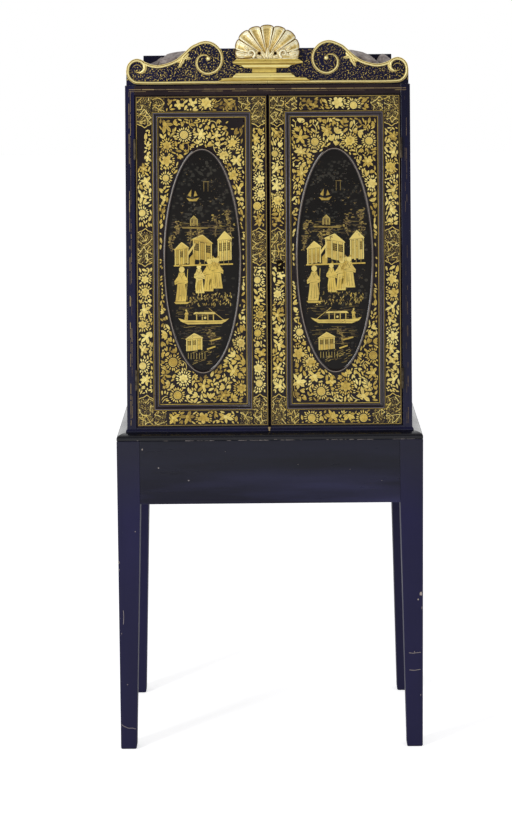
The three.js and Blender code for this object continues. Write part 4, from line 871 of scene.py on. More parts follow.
def boatMarks(x, z, long, face, rng):
    h = long / 2
    hull = ((-1, 8), (-0.86, 1.5), (-0.7, -3.5), (0.62, -4.5), (0.9, 2), (1, 9), (0.72, 4.5), (-0.66, 3.6))
    marks = toned([[(x + face * h * u, z + v) for u, v in hull]], 0.62)
    marks += toned([stroke((x - face * h * 0.8, z + 0.6), (x + face * h * 0.84, z - 0.4), 0.8)], 0.1, 1)
    marks += toned([box(x + h * share - 0.9, z + 5, x + h * share + 0.9, z + 17)
                    for share in (-0.28, -0.06, 0.16, 0.38)], 0.6)
    awning = ((-0.42, 17.6), (0.5, 17.6), (0.42, 22), (-0.34, 22))
    marks += toned([[(x + h * u, z + v) for u, v in awning]], 0.72)
    marks += toned([stroke((x - face * h * 0.8, z + 4), (x - face * h * 0.2, z + 30), 1.1)], 0.6)
    marks += walkerMarks(x + face * h * 0.7, z + 5, 24, -face, rng)
    return marks + toned([roundel(x + h * 0.05, z + 9.5, 2.6, 7)], 0.8)


def waterMarks(count, low, high, rng, reachX):
    marks = []
    for _ in range(count):
        z = rng.uniform(low, high)
        x = rng.uniform(-reachX, reachX - 10)
        marks += toned([stroke((x, z), (x + rng.uniform(6, 22), z + rng.uniform(-0.6, 0.6)), rng.uniform(0.5, 1.0),
                               0.3)], rng.uniform(0.05, 0.6))
    return marks


# what stands in the landscape; buildings and walkers give the arguments of their functions, plain shapes a tone
landscape = {
    "houses": ((-45, -8, 27, 34, 15, 0.14), (0, 0, 38, 42, 15, -0.2), (48, 0, 27, 46, 18, 0.1)),
    "terrace": (([(-30, 12), (-15, 34), (-14, 38), (-17, 38), (-33, 17)], 0.7),
                ([(-28, -10), (-16, -10), (-16, 20), (-28, 6)], 0.4),
                ([(-62, -12), (66, -9), (66, -6), (-62, -9)], 0.5)),
    "walkers": ((-47, -88, 80, 1), (-6, -70, 66, -1), (13, -66, 74, 1), (33, -60, 70, -1), (23, -52, 62, 1)),
    "robes": ([(-16, -64), (-10, -44), (0, -40), (-3, -62)], [(2, -64), (8, -44), (18, -40), (15, -62)]),
    "jetty": (([(-50, -199), (6, -197), (6, -194.5), (-50, -196)], 0.6),
              ([(8, -190), (26, -184), (27, -187), (9, -193)], 0.45),
              ([(14, -172), (38, -166), (39, -169), (16, -175)], 0.4)),
    "trees": ((62, 40, 40, 9), (-66, 20, 34, 7), (30, 52, 44, 12), (-26, 30, 34, 10), (-10, 44, 22, 8),
              (-56, 56, 26, 8), (54, 84, 22, 8)),
    "farBoat": ([(-34, 136), (-20, 133), (-6, 137), (-12, 129), (-28, 129)],
                [(-26, 139), (-24, 139), (-23, 154), (-31, 142)], [(-18, 139), (-15, 152), (-10, 141)]),
    "birds": ((18, 128), (30, 134), (44, 122), (36, 108), (-44, 104), (-52, 60), (52, 96)),
    # half sizes in metres: the ground, and the oval that marks keep inside
    "ground": (0.0795, 0.2385), "marks": (0.0765, 0.2360)}


def landscapeMarks(side, rng):
    bright, dull, haze = [], [], []
    for *measures, shear in landscape["houses"]:
        bright += houseMarks(*measures, rng, shear)
    for outline, tone in landscape["terrace"]:
        bright += toned([outline], tone)
    dull += toned([stroke((-58 + i * 10.4, -9), (-58 + i * 10.4, 0), 1.0) for i in range(12)], 0.6)
    for walker in landscape["walkers"]:
        bright += walkerMarks(*walker, rng)
    bright += toned([stroke((-36, -84), (-32, -18), 1.0)], 0.6)
    bright += toned(landscape["robes"], 0.5)
    bright += toned([[(-62, -89), (-28, -89), (-33, -93), (-58, -93)]], 0.55)
    # rocks and plants on the bank
    for i in range(110):
        x, z = rng.uniform(-40, 62), rng.uniform(-98, -70)
        if (x / 74) ** 2 + (z / 232) ** 2 < 1:
            (bright if rng.random() < 0.25 else dull).extend(toned(
                [leaf(x, z, rng.uniform(0.6, 2.5), rng.uniform(4, 8), rng.uniform(1.3, 2.1))], rng.uniform(0.2, 0.8)))
    # boat on the water
    dull += waterMarks(34, -120, -98, rng, 60)
    bright += boatMarks(2, -133, 110, signs[side], rng)
    dull += waterMarks(60, -186, -140, rng, 52)
    # jetty and shelter at the foot
    bright += houseMarks(-19, -194, 32, 26, 12, rng, 0.08)
    for outline, tone in landscape["jetty"]:
        bright += toned([outline], tone)
    dull += toned([stroke((-44 + i * 6, -212), (-44 + i * 6, -199), 1.1) for i in range(9)], 0.7)
    dull += treeMarks(18, -182, 30, rng, 10)
    for i in range(30):
        x, z = rng.uniform(-24, 42), rng.uniform(-224, -196)
        dull += toned([stroke((x, z), (x + rng.uniform(4, 12), z + rng.uniform(1, 5)), 0.9)], rng.uniform(0.2, 0.8))
    # trees beside the buildings, and the far shore
    for x, z, tall, spread in landscape["trees"]:
        dull += treeMarks(x, z, tall, rng, spread)
    dull += toned([[(-46, 74), (16, 72), (10, 69), (-42, 70)]], 0.5)
    dull += houseMarks(-18, 76, 14, 13, 9, rng)
    dull += waterMarks(46, 56, 84, rng, 56)
    # rubbed upper part: a small boat, a few birds, the ghost of a tower and scattered flecks
    bright += toned(landscape["farBoat"], 0.3)
    for x, z in landscape["birds"]:
        dull += toned([roundel(x, z, 1.6, 6), [(x - 4.5, z + 2), (x, z + 0.6), (x + 4.5, z + 2), (x, z - 0.8)]], 0.3)
    dull += toned([stroke((4, 150), (4, 170), 1.0), stroke((13, 150), (13, 170), 1.0),
                   stroke((2, 171), (15, 171), 1.2)], 0.4)
    for _ in range(900):
        x, z = rng.uniform(-66, 66), rng.uniform(-230, 225)
        if noise.noise(Vector((x * 0.05, z * 0.05, 6))) + rng.uniform(-0.3, 0.3) > 0:
            dull += toned([roundel(x, z, rng.uniform(0.4, 1.2), 5, rng.uniform(0.5, 1.0), rng.uniform(0, 1))],
                          rng.uniform(0.0, 0.4))
    # what is left of rubbed painting
    for _ in range(760):
        x, z = rng.uniform(-68, 68), rng.uniform(-230, 228) if rng.random() < 0.45 else rng.uniform(20, 210)
        if noise.noise(Vector((x * 0.035, z * 0.035, 2))) + rng.uniform(-0.35, 0.35) > -0.05:
            haze += toned([roundel(x, z, rng.uniform(1.2, 4.2), 8, rng.uniform(0.4, 1.0), rng.uniform(0, 1))])
    return bright, dull, haze


def layLandscape(side, seed):
    bright, dull, haze = landscapeMarks(side, random.Random(seed))
    middleX, middleZ = signs[side] * doorPlan["ovalX"], doorPlan["ovalZ"]
    (groundX, groundZ), (reachX, reachZ) = landscape["ground"], landscape["marks"]

    def toFrame(marks):
        moved = [([(middleX + x * 0.001, middleZ + z * 0.001) for x, z in outline], tone, layer)
                 for outline, tone, layer in marks]
        return [mark for mark in moved
                if all(((x - middleX) / reachX) ** 2 + ((z - middleZ) / reachZ) ** 2 < 1 for x, z in mark[0])]
    turns = [i * math.pi / 60 for i in range(120)]
    ground = [(middleX + groundX * math.cos(turn), middleZ + groundZ * math.sin(turn)) for turn in turns]
    for name, marks, rise, slotName, finish in (
            ("PictureGround", toned([ground]), 0.00015, "door_lacquer", "picture"),
            ("LandscapeHaze", toFrame(haze), 0.00010, "carved_gilt", "haze"),
            ("LandscapeBright", toFrame(bright), 0, "carved_gilt", "flatGilt"),
            ("LandscapeDull", toFrame(dull), 0, "carved_gilt", "dullGilt")):
        giltSheet(side + name, marks, doorPlan["panelFace"] + rise, "door_" + side, slotName, finish)


layLandscape("right", 5)
layLandscape("left", 8)
print("landscapes laid")


# crest scrolls: the same volutes as the solid, with a fuller section; sizes in millimetres
crest = {"face": -0.1813, "base": 1.4276, "band": 6.5, "rise": 5.0, "rail": 5.2, "railEnd": 272, "low": (236.7, 40.2),
         "eyeRadius": 0.0047, "eyeProud": 0.0036,
         "small": (282, 34, 21, -math.pi / 2, (1.37, 1.13, 0.94, 0.95, 0.985, 0.955, 0.78, 0.42, 0.24, 0.2)),
         "big": (131, 57.3, 34.5, math.pi / 4,
                 (1.06, 1.018, 0.958, 0.967, 0.987, 0.97, 0.815, 0.567, 0.303, 0.185, 0.13, 0.1, 0.1)),
         "sweep": ((0, 0), (0.19, 0.06), (0.33, 0.14), (0.46, 0.25), (0.57, 0.4), (0.67, 0.56), (0.77, 0.74),
                   (0.86, 0.88)),
         "section": ((-0.5, 0), (-0.5, 0.3), (-0.45, 0.62), (-0.34, 0.86), (-0.18, 0.99), (-0.02, 0.97), (0.1, 0.82),
                     (0.18, 0.58), (0.22, 0.4), (0.27, 0.42), (0.31, 0.62), (0.38, 0.7), (0.45, 0.6), (0.5, 0.36),
                     (0.5, 0)),
         # leaves: place and angle, length, width, height and waviness of the edge
         "leaves": (("bractSwell", (179.6, 61.4), -0.75, 23, 11.5, 5.4, 0.05),
                    ("bractMain", (185.6, 48.6), -1.09, 29, 10, 6.0, 0.16),
                    ("bractInner", (171.8, 58.3), 3.35, 17, 8.6, 5.4, 0.1),
                    ("bractOuter", (188.6, 52.4), -0.62, 15, 8.4, 4.8, 0.05),
                    ("hookLeaf", (263.6, 40.6), -1.75, 15, 8, 5.2, 0.05))}


def volutePoint(plan, position):
    x, z, radius, start, shares = plan
    index = min(int(position), len(shares) - 2)
    share = shares[index] + (shares[index + 1] - shares[index]) * (position - index)
    return away(x, z, radius * share, start + position * math.pi / 4)


def volutePath(plan, start, end, steps):
    return [volutePoint(plan, start + (end - start) * i / steps) for i in range(steps + 1)]


def between(now, start, end, first, second):
    return first * ((end - now) / (end - start)) + second * ((now - start) / (end - start))


def smoothPath(points, steps):
    # centripetal curve through the points, then even steps along it
    before, after = ([2 * a - b for a, b in zip(end, inner)] for end, inner in (points[:2], points[:-3:-1]))
    padded = [before, *points, after]
    fine = []
    for i in range(len(padded) - 3):
        p = [Vector(point) for point in padded[i:i + 4]]
        t = [0.0]
        for a, b in zip(p, p[1:]):
            t.append(t[-1] + max((b - a).length, 1e-6) ** 0.5)
        for k in range(12):
            now = t[1] + (t[2] - t[1]) * k / 12
            wide = [between(now, t[j], t[j + 1], p[j], p[j + 1]) for j in range(3)]
            near = [between(now, t[j], t[j + 2], wide[j], wide[j + 1]) for j in range(2)]
            fine.append(between(now, t[1], t[2], *near))
    fine.append(Vector(points[-1]))
    lengths = [0.0]
    for a, b in zip(fine, fine[1:]):
        lengths.append(lengths[-1] + (b - a).length)
    even, cursor = [], 0
    for i in range(steps + 1):
        target = lengths[-1] * i / steps
        while cursor < len(lengths) - 2 and lengths[cursor + 1] < target:
            cursor += 1
        part = (target - lengths[cursor]) / max(lengths[cursor + 1] - lengths[cursor], 1e-9)
        even.append(fine[cursor].lerp(fine[cursor + 1], min(1, max(0, part))))
    return even


# a moulding swept along a path on a board's face, closed at both ends
def sweptMoulding(name, path, section, width, rise, side, faceY=crest["face"]):
    points = []
    count, total = len(section), len(path)
    for i, centre in enumerate(path):
        along = (path[min(i + 1, total - 1)] - path[max(i - 1, 0)]).normalized()
        across = Vector((along.y, -along.x))
        t = i / (total - 1)
        for a, b in section:
            place = centre + across * (a * width(t))
            points.append((side * place.x * 0.001, faceY - b * rise(t) * 0.001, crest["base"] + place.y * 0.001))
    ends = [list(range(count)), [(total - 1) * count + k for k in reversed(range(count))]]
    return outwardFaces(newPiece(name, points, bandFaces(total, count) + ends), 38)


def closeToBack(piece, smoothAngle):
    inEditMode(piece, bpy.ops.mesh.extrude_region_move)
    for vertex in piece.data.vertices:
        if vertex.select:
            vertex.co.y = crest["face"]
    return outwardFaces(piece, smoothAngle)


# a carved leaf: a pointed grid, domed, with a sunk rib, closed at the back
def carvedLeaf(name, place, angle, length, width, height, lobes, side=1):
    bpy.ops.mesh.primitive_grid_add(x_subdivisions=14, y_subdivisions=8, size=2)
    piece = bpy.context.object
    piece.name = name
    c, s = math.cos(angle), math.sin(angle)
    for vertex in piece.data.vertices:
        u, v = (vertex.co.x + 1) / 2, vertex.co.y
        half = width / 2 * (math.sin(math.pi * min(1, 0.06 + 0.94 * u) ** 0.72) ** 0.8 + 0.05)
        half *= 1 + lobes * math.sin(u * 3 * 2 * math.pi)
        swell = height * (1 - v * v) * (0.35 + 0.65 * math.sin(math.pi * (0.1 + 0.8 * u)))
        rib = 0.34 * height * math.exp(-(v / 0.2) ** 2)
        x, z = (u - 0.5) * length, v * half
        vertex.co = (side * (place[0] + c * x - s * z) * 0.001, crest["face"] - (0.5 + swell - rib) * 0.001,
                     crest["base"] + (place[1] + s * x + c * z) * 0.001)
    return closeToBack(piece, 50)


def beadAt(place, radius, segments, rings):
    bpy.ops.mesh.primitive_uv_sphere_add(segments=segments, ring_count=rings, radius=radius, location=place)
    piece = asPlaced()
    bpy.ops.object.shade_smooth()
    return piece


def joinPieces(name, pieces):
    activate(pieces[0])
    for piece in pieces:
        piece.select_set(True)
    bpy.ops.object.join()
    joined = bpy.context.object
    joined.name = joined.data.name = name
    return joined


def carvedTones(piece, rounds, depth):
    # what stands proud of its softened self is burnished and gets a painted highlight, what lies under it holds dirt
    # and painted shade
    activate(piece)
    bpy.ops.object.duplicate()
    softened = bpy.context.object
    inEditMode(softened, lambda: bpy.ops.mesh.vertices_smooth(factor=0.5, repeat=rounds))
    tones = [0.5 + (soft.co.y - sharp.co.y) * 1000 / depth
             for sharp, soft in zip(piece.data.vertices, softened.data.vertices)]
    bpy.data.objects.remove(softened, do_unlink=True)
    return tones


def easeOver(t, start, end):
    share = min(1, max(0, (t - start) / (end - start)))
    return share * share * (3 - 2 * share)


def swelling(size, *changes):
    # a size along a path, with the shares it gains or loses between two places
    def at(t):
        share = 1
        for amount, start, end in changes:
            share += amount * easeOver(t, start, end)
        return size * share
    return at


def scrollMoulding(label, side):
    startX, startZ = volutePoint(crest["small"], 5.0)
    endX, endZ = volutePoint(crest["big"], 0.3)
    lowX, lowZ = crest["low"]
    railPath = [(x, crest["rail"]) for x in (0.2, 136, crest["railEnd"])] + volutePath(crest["small"], 0.2, 8.3, 26)
    sweepPath = [(startX, startZ), ((startX + lowX) / 2, lowZ + (startZ - lowZ) / 4)]
    sweepPath += [(lowX - (lowX - endX) * a, lowZ + (endZ - lowZ) * b) for a, b in crest["sweep"]]
    sweepPath += volutePath(crest["big"], 0.3, 11, 44)
    band, rise, section = crest["band"], crest["rise"], crest["section"]
    # the rail swells into its hook and ends in a point, the sweep thins towards its eye
    pieces = [sweptMoulding("rail", smoothPath(railPath, 190), section,
                            swelling(band, (0.3, 0.88, 0.94), (-0.95, 0.95, 1)),
                            swelling(rise, (0.04, 0.88, 0.94), (-0.6, 0.96, 1)), side),
              sweptMoulding("sweep", smoothPath(sweepPath, 260), section,
                            swelling(band, (-0.1, 0.2, 0.4), (-0.42, 0.84, 1)),
                            swelling(rise, (-0.22, 0.84, 1)), side)]
    eyeX, eyeZ = volutePoint(crest["big"], 11)
    eye = (side * eyeX * 0.001, crest["face"] - crest["eyeProud"], crest["base"] + eyeZ * 0.001)
    pieces.append(beadAt(eye, crest["eyeRadius"], 20, 12))
    pieces += [carvedLeaf(*plan, side) for plan in crest["leaves"]]
    piece = joinPieces(label + "ScrollCarving", pieces)
    # the tones paint a highlight on the proud parts and shade with dirt in the hollows
    setTones(piece, carvedTones(piece, 6, 1.1))
    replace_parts(dress(piece, "cabinet", "carved_gilt", "paleGilt"), "scroll_moulding_" + label)


for label, side in signs.items():
    scrollMoulding(label, side)
print("scrolls carved")


# stepped plinth: height, left reach, right reach and depth of each level in millimetres, and its tone: a painted
# highlight on bright arrises, painted shade with dirt in the dark grooves under them
plinthLevels = (
    (8.8, 105, 92, 8.4, 0.3), (11.5, 100, 87.5, 8.5, 0.5), (12.4, 98.5, 86, 7.6, 0.75), (13.9, 97, 84.5, 7.4, 0.6),
    (15.6, 79, 64.5, 7.2, 0.2), (16.1, 75.4, 60.4, 9.0, 0.95), (20.4, 72.6, 57, 9.3, 0.8), (21.2, 71, 55.4, 8.4, 0.25),
    (22.9, 69, 53, 8.6, 1.0), (24.9, 66, 49.6, 7.8, 0.7), (25.3, 32.6, 19.4, 5.6, 0.1), (28, 32.6, 19.4, 5.6, 0.55),
    (35.7, 32.6, 19.4, 5.6, 0.28), (36.1, 49.4, 44.4, 8.4, 0.2), (38.1, 51.4, 46.4, 9.2, 0.6),
    (39.0, 52.6, 47.8, 10.4, 0.9), (42.2, 56.2, 51, 10.8, 1.0), (43.2, 62, 57, 12.0, 0.5),
    (45.6, 71.5, 70.4, 15.0, 0.25), (46.6, 74.2, 73.8, 15.2, 0.1), (48.3, 75, 76.4, 16.6, 0.7),
    (50.0, 74.8, 76.2, 16.8, 0.55), (51.4, 72.4, 73.8, 15.6, 0.3), (52.6, 71, 72.2, 16.2, 0.3),
    (56, 66.4, 65, 15.0, 0.8))


def levelShadingAndDirt(z):
    for (low, *_, first), (high, *_, second) in zip(plinthLevels, plinthLevels[1:]):
        if z <= high:
            return first + (second - first) * max(0, z - low) / (high - low)
    return plinthLevels[-1][4]


def stepPlinth():
    points = []
    for z, left, right, depth, _tone in plinthLevels:
        points += [(x, y, crest["base"] + z * 0.001) for x, y in
                   box(-left * 0.001, crest["face"] - depth * 0.001, right * 0.001, crest["face"])]
    last = len(points) - 4
    faces = bandFaces(len(plinthLevels), 4) + [[3, 2, 1, 0], [last, last + 1, last + 2, last + 3]]
    piece = outwardFaces(newPiece("plinthCarving", points, faces))
    soften(piece, 0.00045, 28)
    activate(piece)
    bpy.ops.object.modifier_apply(modifier="soften")
    setTones(piece, [levelShadingAndDirt((vertex.co.z - crest["base"]) * 1000) for vertex in piece.data.vertices])
    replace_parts(dress(piece, "cabinet", "carved_gilt", "carvedGilt"), "crest_plinth")


stepPlinth()


# shell: nine dished flutes between ridges, each rolled over at its lobe; profile is the height from hinge to rim
shell = {"centre": 59.6, "seat": 0.0562, "steps": 26, "rings": 50, "inner": 0.07, "rimShare": 0.966, "heart": 24,
         "valleys": (-5.5, 12.9, 32.6, 55.2, 77.2, 102.8, 124.8, 147.4, 167.1, 185.5),
         "valleyReach": (61.0, 68.8, 72.2, 70.0, 65.6, 65.6, 70.0, 72.2, 68.8, 61.0),
         "lobeRise": (4.6, 4.2, 5.0, 4.4, 4.6, 4.4, 5.0, 4.2, 4.6),
         "profile": (9.5, 12, 15, 18, 20, 21, 20.7, 19.6, 17.6, 14.4, 8.6), "dish": 5.6, "endSwell": 0.5, "lip": 1.6,
         "ridge": 1.5, "groove": 2.6, "midRib": 0.9,
         "holes": ((17.3, 8.4, 3.2), (-17.3, 8.4, 3.4), (48.5, 7.6, 2.7), (-50.5, 7.6, 3.3)), "holeDepth": 8}
# curls, beads and leaves at the foot of the fan; leaves by place, angle, length, width, height and what they stand on
shellFoot = {"curl": (35, 68), "curlRadius": 9.4, "curlTurns": 42, "curlWidth": 5.6, "curlBase": 17.0,
             "beadRadius": 0.0019, "beadLevel": 0.0578, "beadProud": 0.0128, "beadBow": 0.0026,
             "barProud": 0.0058, "barSize": (0.126, 0.0116, 0.0038), "barEdge": 0.0012,
             "leaves": (("palmette", (1, 70), 1.57, 23, 9, 5.6, 14.5),
                        ("palmetteA", (10, 67), 1.0, 19, 8, 5.6, 14), ("palmetteB", (-9, 67), 2.14, 19, 8, 5.6, 14),
                        ("palmetteC", (21, 61.6), 0.3, 19, 7.4, 5.6, 14),
                        ("palmetteD", (-21, 61.6), 2.84, 19, 7.4, 5.6, 14),
                        ("sideLeafA", (57, 69.4), 0.3, 21, 9, 4.6, 15),
                        ("sideLeafB", (-58, 69.4), 2.84, 21, 9, 4.6, 15),
                        ("lowLeafA", (55, 61.8), 0.02, 25, 8.4, 5.0, 13.5),
                        ("lowLeafB", (-56, 61.8), 3.12, 25, 8.4, 5.0, 13.5),
                        ("topLeafA", (46, 78), 0.85, 14, 6.8, 4.0, 16.5),
                        ("topLeafB", (-46, 78), 2.29, 14, 6.8, 4.0, 16.5))}


def rimReach(share):
    lobe = min(8, int(share * 9))
    phase = share * 9 - lobe
    start, end = shell["valleys"][lobe:lobe + 2]
    before, after = shell["valleyReach"][lobe:lobe + 2]
    edge = before * (1 - phase) + after * phase
    edge += shell["lobeRise"][lobe] * math.sqrt(max(0.0, 1 - (2 * phase - 1) ** 2)) ** 0.9
    return math.radians(start + (end - start) * phase), phase, edge


def hump(distance, reach):
    return math.exp(-(distance / reach) ** 2)


def shellPoint(share, along):
    angle, phase, edge = rimReach(share)
    reach = edge * (shell["inner"] + (1 - shell["inner"]) * along)
    x, z = reach * math.cos(angle), reach * math.sin(angle)
    spot = min(along * 10, 9.999)
    low = int(spot)
    before, after = shell["profile"][low:low + 2]
    hollow = math.sin(math.pi * phase) ** 0.85
    dish = shell["dish"] * (shell["endSwell"] if share < 1 / 9 or share > 8 / 9 else 1)
    height = before + (after - before) * (spot - low)
    height -= dish * hollow * min(1, 0.15 + along * 2.4) * (1 - 0.5 * along ** 7)
    side = min(phase, 1 - phase)
    height += shell["ridge"] * hump(side - 0.13, 0.07) * min(1, along * 3)
    if 0.01 < share < 0.99:
        height -= shell["groove"] * hump(side, 0.045) * min(1, along * 3)
    middle = hump(phase - 0.5, 0.07) * max(0, math.sin(math.pi * min(1, along * 1.12)))
    height += shell["midRib"] * middle
    height += shell["lip"] * hollow ** 0.6 * hump(along - 0.925, 0.05)
    for holeX, holeZ, radius in shell["holes"]:
        height -= shell["holeDepth"] * math.exp(-(math.hypot(x - holeX, z - holeZ) / radius) ** 4)
    return Vector((x, z, max(2.2, height)))


def shellLeaf(*plan, base):
    piece = carvedLeaf(*plan, 0.06)
    for vertex in piece.data.vertices:
        lift = base if vertex.co.y < crest["face"] - 0.0001 else base - 4
        vertex.co.y -= lift * 0.001
        vertex.co.z = max(vertex.co.z, crest["base"] + shell["seat"])
    return piece


def shellTones(piece, fanCount):
    # the cut edge of the fan and its rim are dark with painted shade, and so are the grooves between its lobes and the
    # hollows at its foot; its ridges and one flank of each lobe get a painted highlight, and the tone darkens towards
    # the heart
    tones = carvedTones(piece, 10, 1.9)
    reaches = [rimReach(i / 180) for i in range(181)]
    for number, vertex in enumerate(piece.data.vertices):
        x, z = vertex.co.x * 1000, (vertex.co.z - crest["base"]) * 1000 - shell["centre"]
        angle, reach = math.atan2(z, x), math.hypot(x, z)
        _turn, phase, edge = min(reaches, key=lambda entry: abs(entry[0] - angle))
        if number < fanCount and vertex.co.y > crest["face"] - 0.0004:
            tones[number] = 0.2
        elif reach > edge * shell["rimShare"] and z > 0:
            tones[number] = 0.0
        elif number < fanCount:
            side = min(phase, 1 - phase)
            highlightFlank = phase if x < 0 else 1 - phase
            # painted shade in each groove, a painted highlight on the ridge beside it and on one flank of each lobe
            tones[number] += -0.1 - 0.7 * hump(side, 0.05) + 0.5 * hump(side - 0.16, 0.08)
            tones[number] += 0.45 * hump(highlightFlank - 0.3, 0.16) * (0.4 + min(1, abs(x) / 45))
            tones[number] -= 0.25 * max(0, 1 - reach / shell["heart"])
            if any(math.hypot(x - holeX, z - holeZ) < radius * 1.1 for holeX, holeZ, radius in shell["holes"]):
                tones[number] = 0.0
    return tones


def carveShell():
    foot, seat = shellFoot, crest["base"] + shell["seat"]
    bpy.ops.mesh.primitive_grid_add(x_subdivisions=9 * shell["steps"], y_subdivisions=shell["rings"], size=2)
    fan = bpy.context.object
    for vertex in fan.data.vertices:
        share, along = (1 - vertex.co.x) / 2, (vertex.co.y + 1) / 2
        p = shellPoint(min(0.99999, max(0, share)), along)
        tool = noise.noise(Vector((p.x * 0.23, p.y * 0.23, 3))) * 0.35
        vertex.co = (p.x * 0.001, crest["face"] - (p.z + tool) * 0.001,
                     max(seat, crest["base"] + (shell["centre"] + p.y) * 0.001))
    closeToBack(fan, 55)
    fanCount = len(fan.data.vertices)
    # two curls and the leaves at the foot
    section = [(0.5 * math.cos(k * math.pi / 5), 0.5 + 0.5 * math.sin(k * math.pi / 5)) for k in range(10)]
    curl = []
    for i in range(foot["curlTurns"]):
        turn, radius = -1.2 + i * 0.17, foot["curlRadius"] * (1 - 0.8 * i / foot["curlTurns"])
        curl.append(Vector((foot["curl"][0] - radius * math.cos(turn), foot["curl"][1] + radius * math.sin(turn))))
    pieces = [fan] + [
        sweptMoulding("curl", curl, section, lambda t: foot["curlWidth"] * (1 - 0.4 * t), lambda t: 5.4 - 0.8 * t,
                      side, crest["face"] - foot["curlBase"] * 0.001) for side in (1, -1)]
    pieces += [shellLeaf(*plan, base=base) for *plan, base in foot["leaves"]]
    # beading under the fan, before a rounded bar
    level = crest["base"] + foot["beadLevel"]
    pieces += [beadAt((x * 0.001, crest["face"] - foot["beadProud"] + foot["beadBow"] * abs(x / 60), level),
                      foot["beadRadius"], 10, 6) for x in range(-60, 61, 5)]
    bpy.ops.mesh.primitive_cube_add(size=1, location=(0, crest["face"] - foot["barProud"], level),
                                    scale=foot["barSize"])
    bar = asPlaced()
    inEditMode(bar, lambda: bpy.ops.mesh.bevel(offset=foot["barEdge"], segments=3))
    smoothByAngle(40)
    piece = joinPieces("shellCarving", pieces + [bar])
    setTones(piece, shellTones(piece, fanCount))
    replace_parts(dress(piece, "cabinet", "carved_gilt", "shellGilt"), "crest_shell")


carveShell()
print("shell carved")


# small gilt curls, leaves and dots all over the crest board, and painted curls inside each small volute
speckle = {"tries": 26000, "curl": (0.0015, 0.0028), "curlLine": 0.0013, "dot": (0.0007, 0.0012),
           "leaf": (0.0044, 0.0072), "leafWidth": 0.0023, "reach": 0.303, "face": -0.181,
           "voluteCurls": ((0.0105, 0.4, 2.4), (0.0060, 2.9, 3.4)), "voluteLine": 0.0016, "low": 0.010, "high": 0.092,
           "edgeRoom": 0.003}


def speckleCrest():
    rng = random.Random(77)
    ground = Ground()
    marks = []
    # the board's top edge, by its height at steps of 4 mm
    edge = {}
    for vertex in nodes["crest_board"].data.vertices:
        key = round(vertex.co.x * 250)
        edge[key] = max(edge.get(key, 0), vertex.co.z)

    def topAt(x):
        spot = x * 250
        below = max((k for k in edge if k <= spot), default=min(edge))
        above = min((k for k in edge if k >= spot), default=max(edge))
        if above == below:
            return edge[below]
        part = (spot - below) / (above - below)
        return edge[below] * (1 - part) + edge[above] * part

    middleX, middleZ = crest["small"][0] * 0.001, crest["base"] + crest["small"][1] * 0.001
    for side in (-1, 1):
        for radius, start, sweep in speckle["voluteCurls"]:
            marks += toned([arc(side * middleX, middleZ, radius, start if side > 0 else math.pi - start - sweep, sweep,
                                speckle["voluteLine"], 8)], 0.7)
            for i in range(9):
                x, z = away(middleX, middleZ, radius, start + sweep * i / 8)
                ground.lay(side * x, z, 0.0012)
    for _ in range(speckle["tries"]):
        x = rng.uniform(-speckle["reach"], speckle["reach"])
        z = rng.uniform(crest["base"] + speckle["low"], crest["base"] + speckle["high"])
        if z > topAt(x) - speckle["edgeRoom"]:
            continue
        kind = rng.random()
        tone = rng.uniform(0.3, 1.0) if x < 0 else rng.uniform(0.1, 0.75)
        if kind < 0.42:
            radius = rng.uniform(*speckle["curl"])
            if ground.clear(x, z, radius + 0.0010):
                ground.lay(x, z, radius + 0.0005)
                marks += toned([arc(x, z, radius, rng.uniform(0, 6.28), rng.uniform(2.4, 4.2), speckle["curlLine"],
                                    4)], tone)
        elif kind < 0.66:
            radius = rng.uniform(*speckle["dot"])
            if ground.clear(x, z, radius + 0.0008):
                ground.lay(x, z, radius + 0.0003)
                marks += toned([roundel(x, z, radius, 6, 1.0, rng.uniform(0, 1))], tone)
        elif ground.clear(x, z, 0.0026):
            ground.lay(x, z, 0.0019)
            marks += toned([leaf(x, z, rng.uniform(0, 6.28), rng.uniform(*speckle["leaf"]), speckle["leafWidth"])],
                           tone)
    giltSheet("crestSpeckle", marks, speckle["face"], "cabinet", "carved_gilt", "dullGilt")
    print("crest speckled", len(marks))


speckleCrest()


def leftOfLine(rng, start, end, lengths, keep, gaps):
    # the stretches that are left of a rubbed line
    while start < end:
        length = rng.uniform(*lengths)
        if rng.random() < keep:
            yield start, length
        start += length + rng.uniform(*gaps)


# gilt lines on the front edges of the case
caseLines = {"x": 0.2996, "top": 1.4189, "bottom": 0.6935, "frontY": -0.190,
             "upright": ((0.2996, 0.0013, 0.66), (0.2996 - 0.0031, 0.0008, 0.8)),
             "level": ((1.4189, 0.0017, 0.93), (1.4189 - 0.0042, 0.0007, 0.8))}


def drawCaseLines():
    rng = random.Random(3)
    marks = []
    reach, top = caseLines["x"], caseLines["top"]
    for side in (-1, 1):
        for x, width, keep in caseLines["upright"]:
            for z, length in leftOfLine(rng, caseLines["bottom"], top - 0.006, (0.006, 0.03),
                                        keep * (1 if side < 0 else 0.5), (0.0004, 0.004)):
                end = min(z + length, top - 0.001)
                marks += toned([stroke((side * x, z), (side * x, end), width * rng.uniform(0.6, 1.1))],
                               rng.uniform(0.3, 1.0) if side < 0 else rng.uniform(0.0, 0.5))
    for z, width, keep in caseLines["level"]:
        for x, length in leftOfLine(rng, -reach, reach, (0.01, 0.05), keep, (0.0003, 0.002)):
            marks += toned([stroke((x, z), (min(x + length, reach), z), width * rng.uniform(0.7, 1.1))],
                           rng.uniform(0.4, 1.0))
    giltSheet("caseLine", marks, caseLines["frontY"], "cabinet", "carved_gilt", "wornLine")


drawCaseLines()


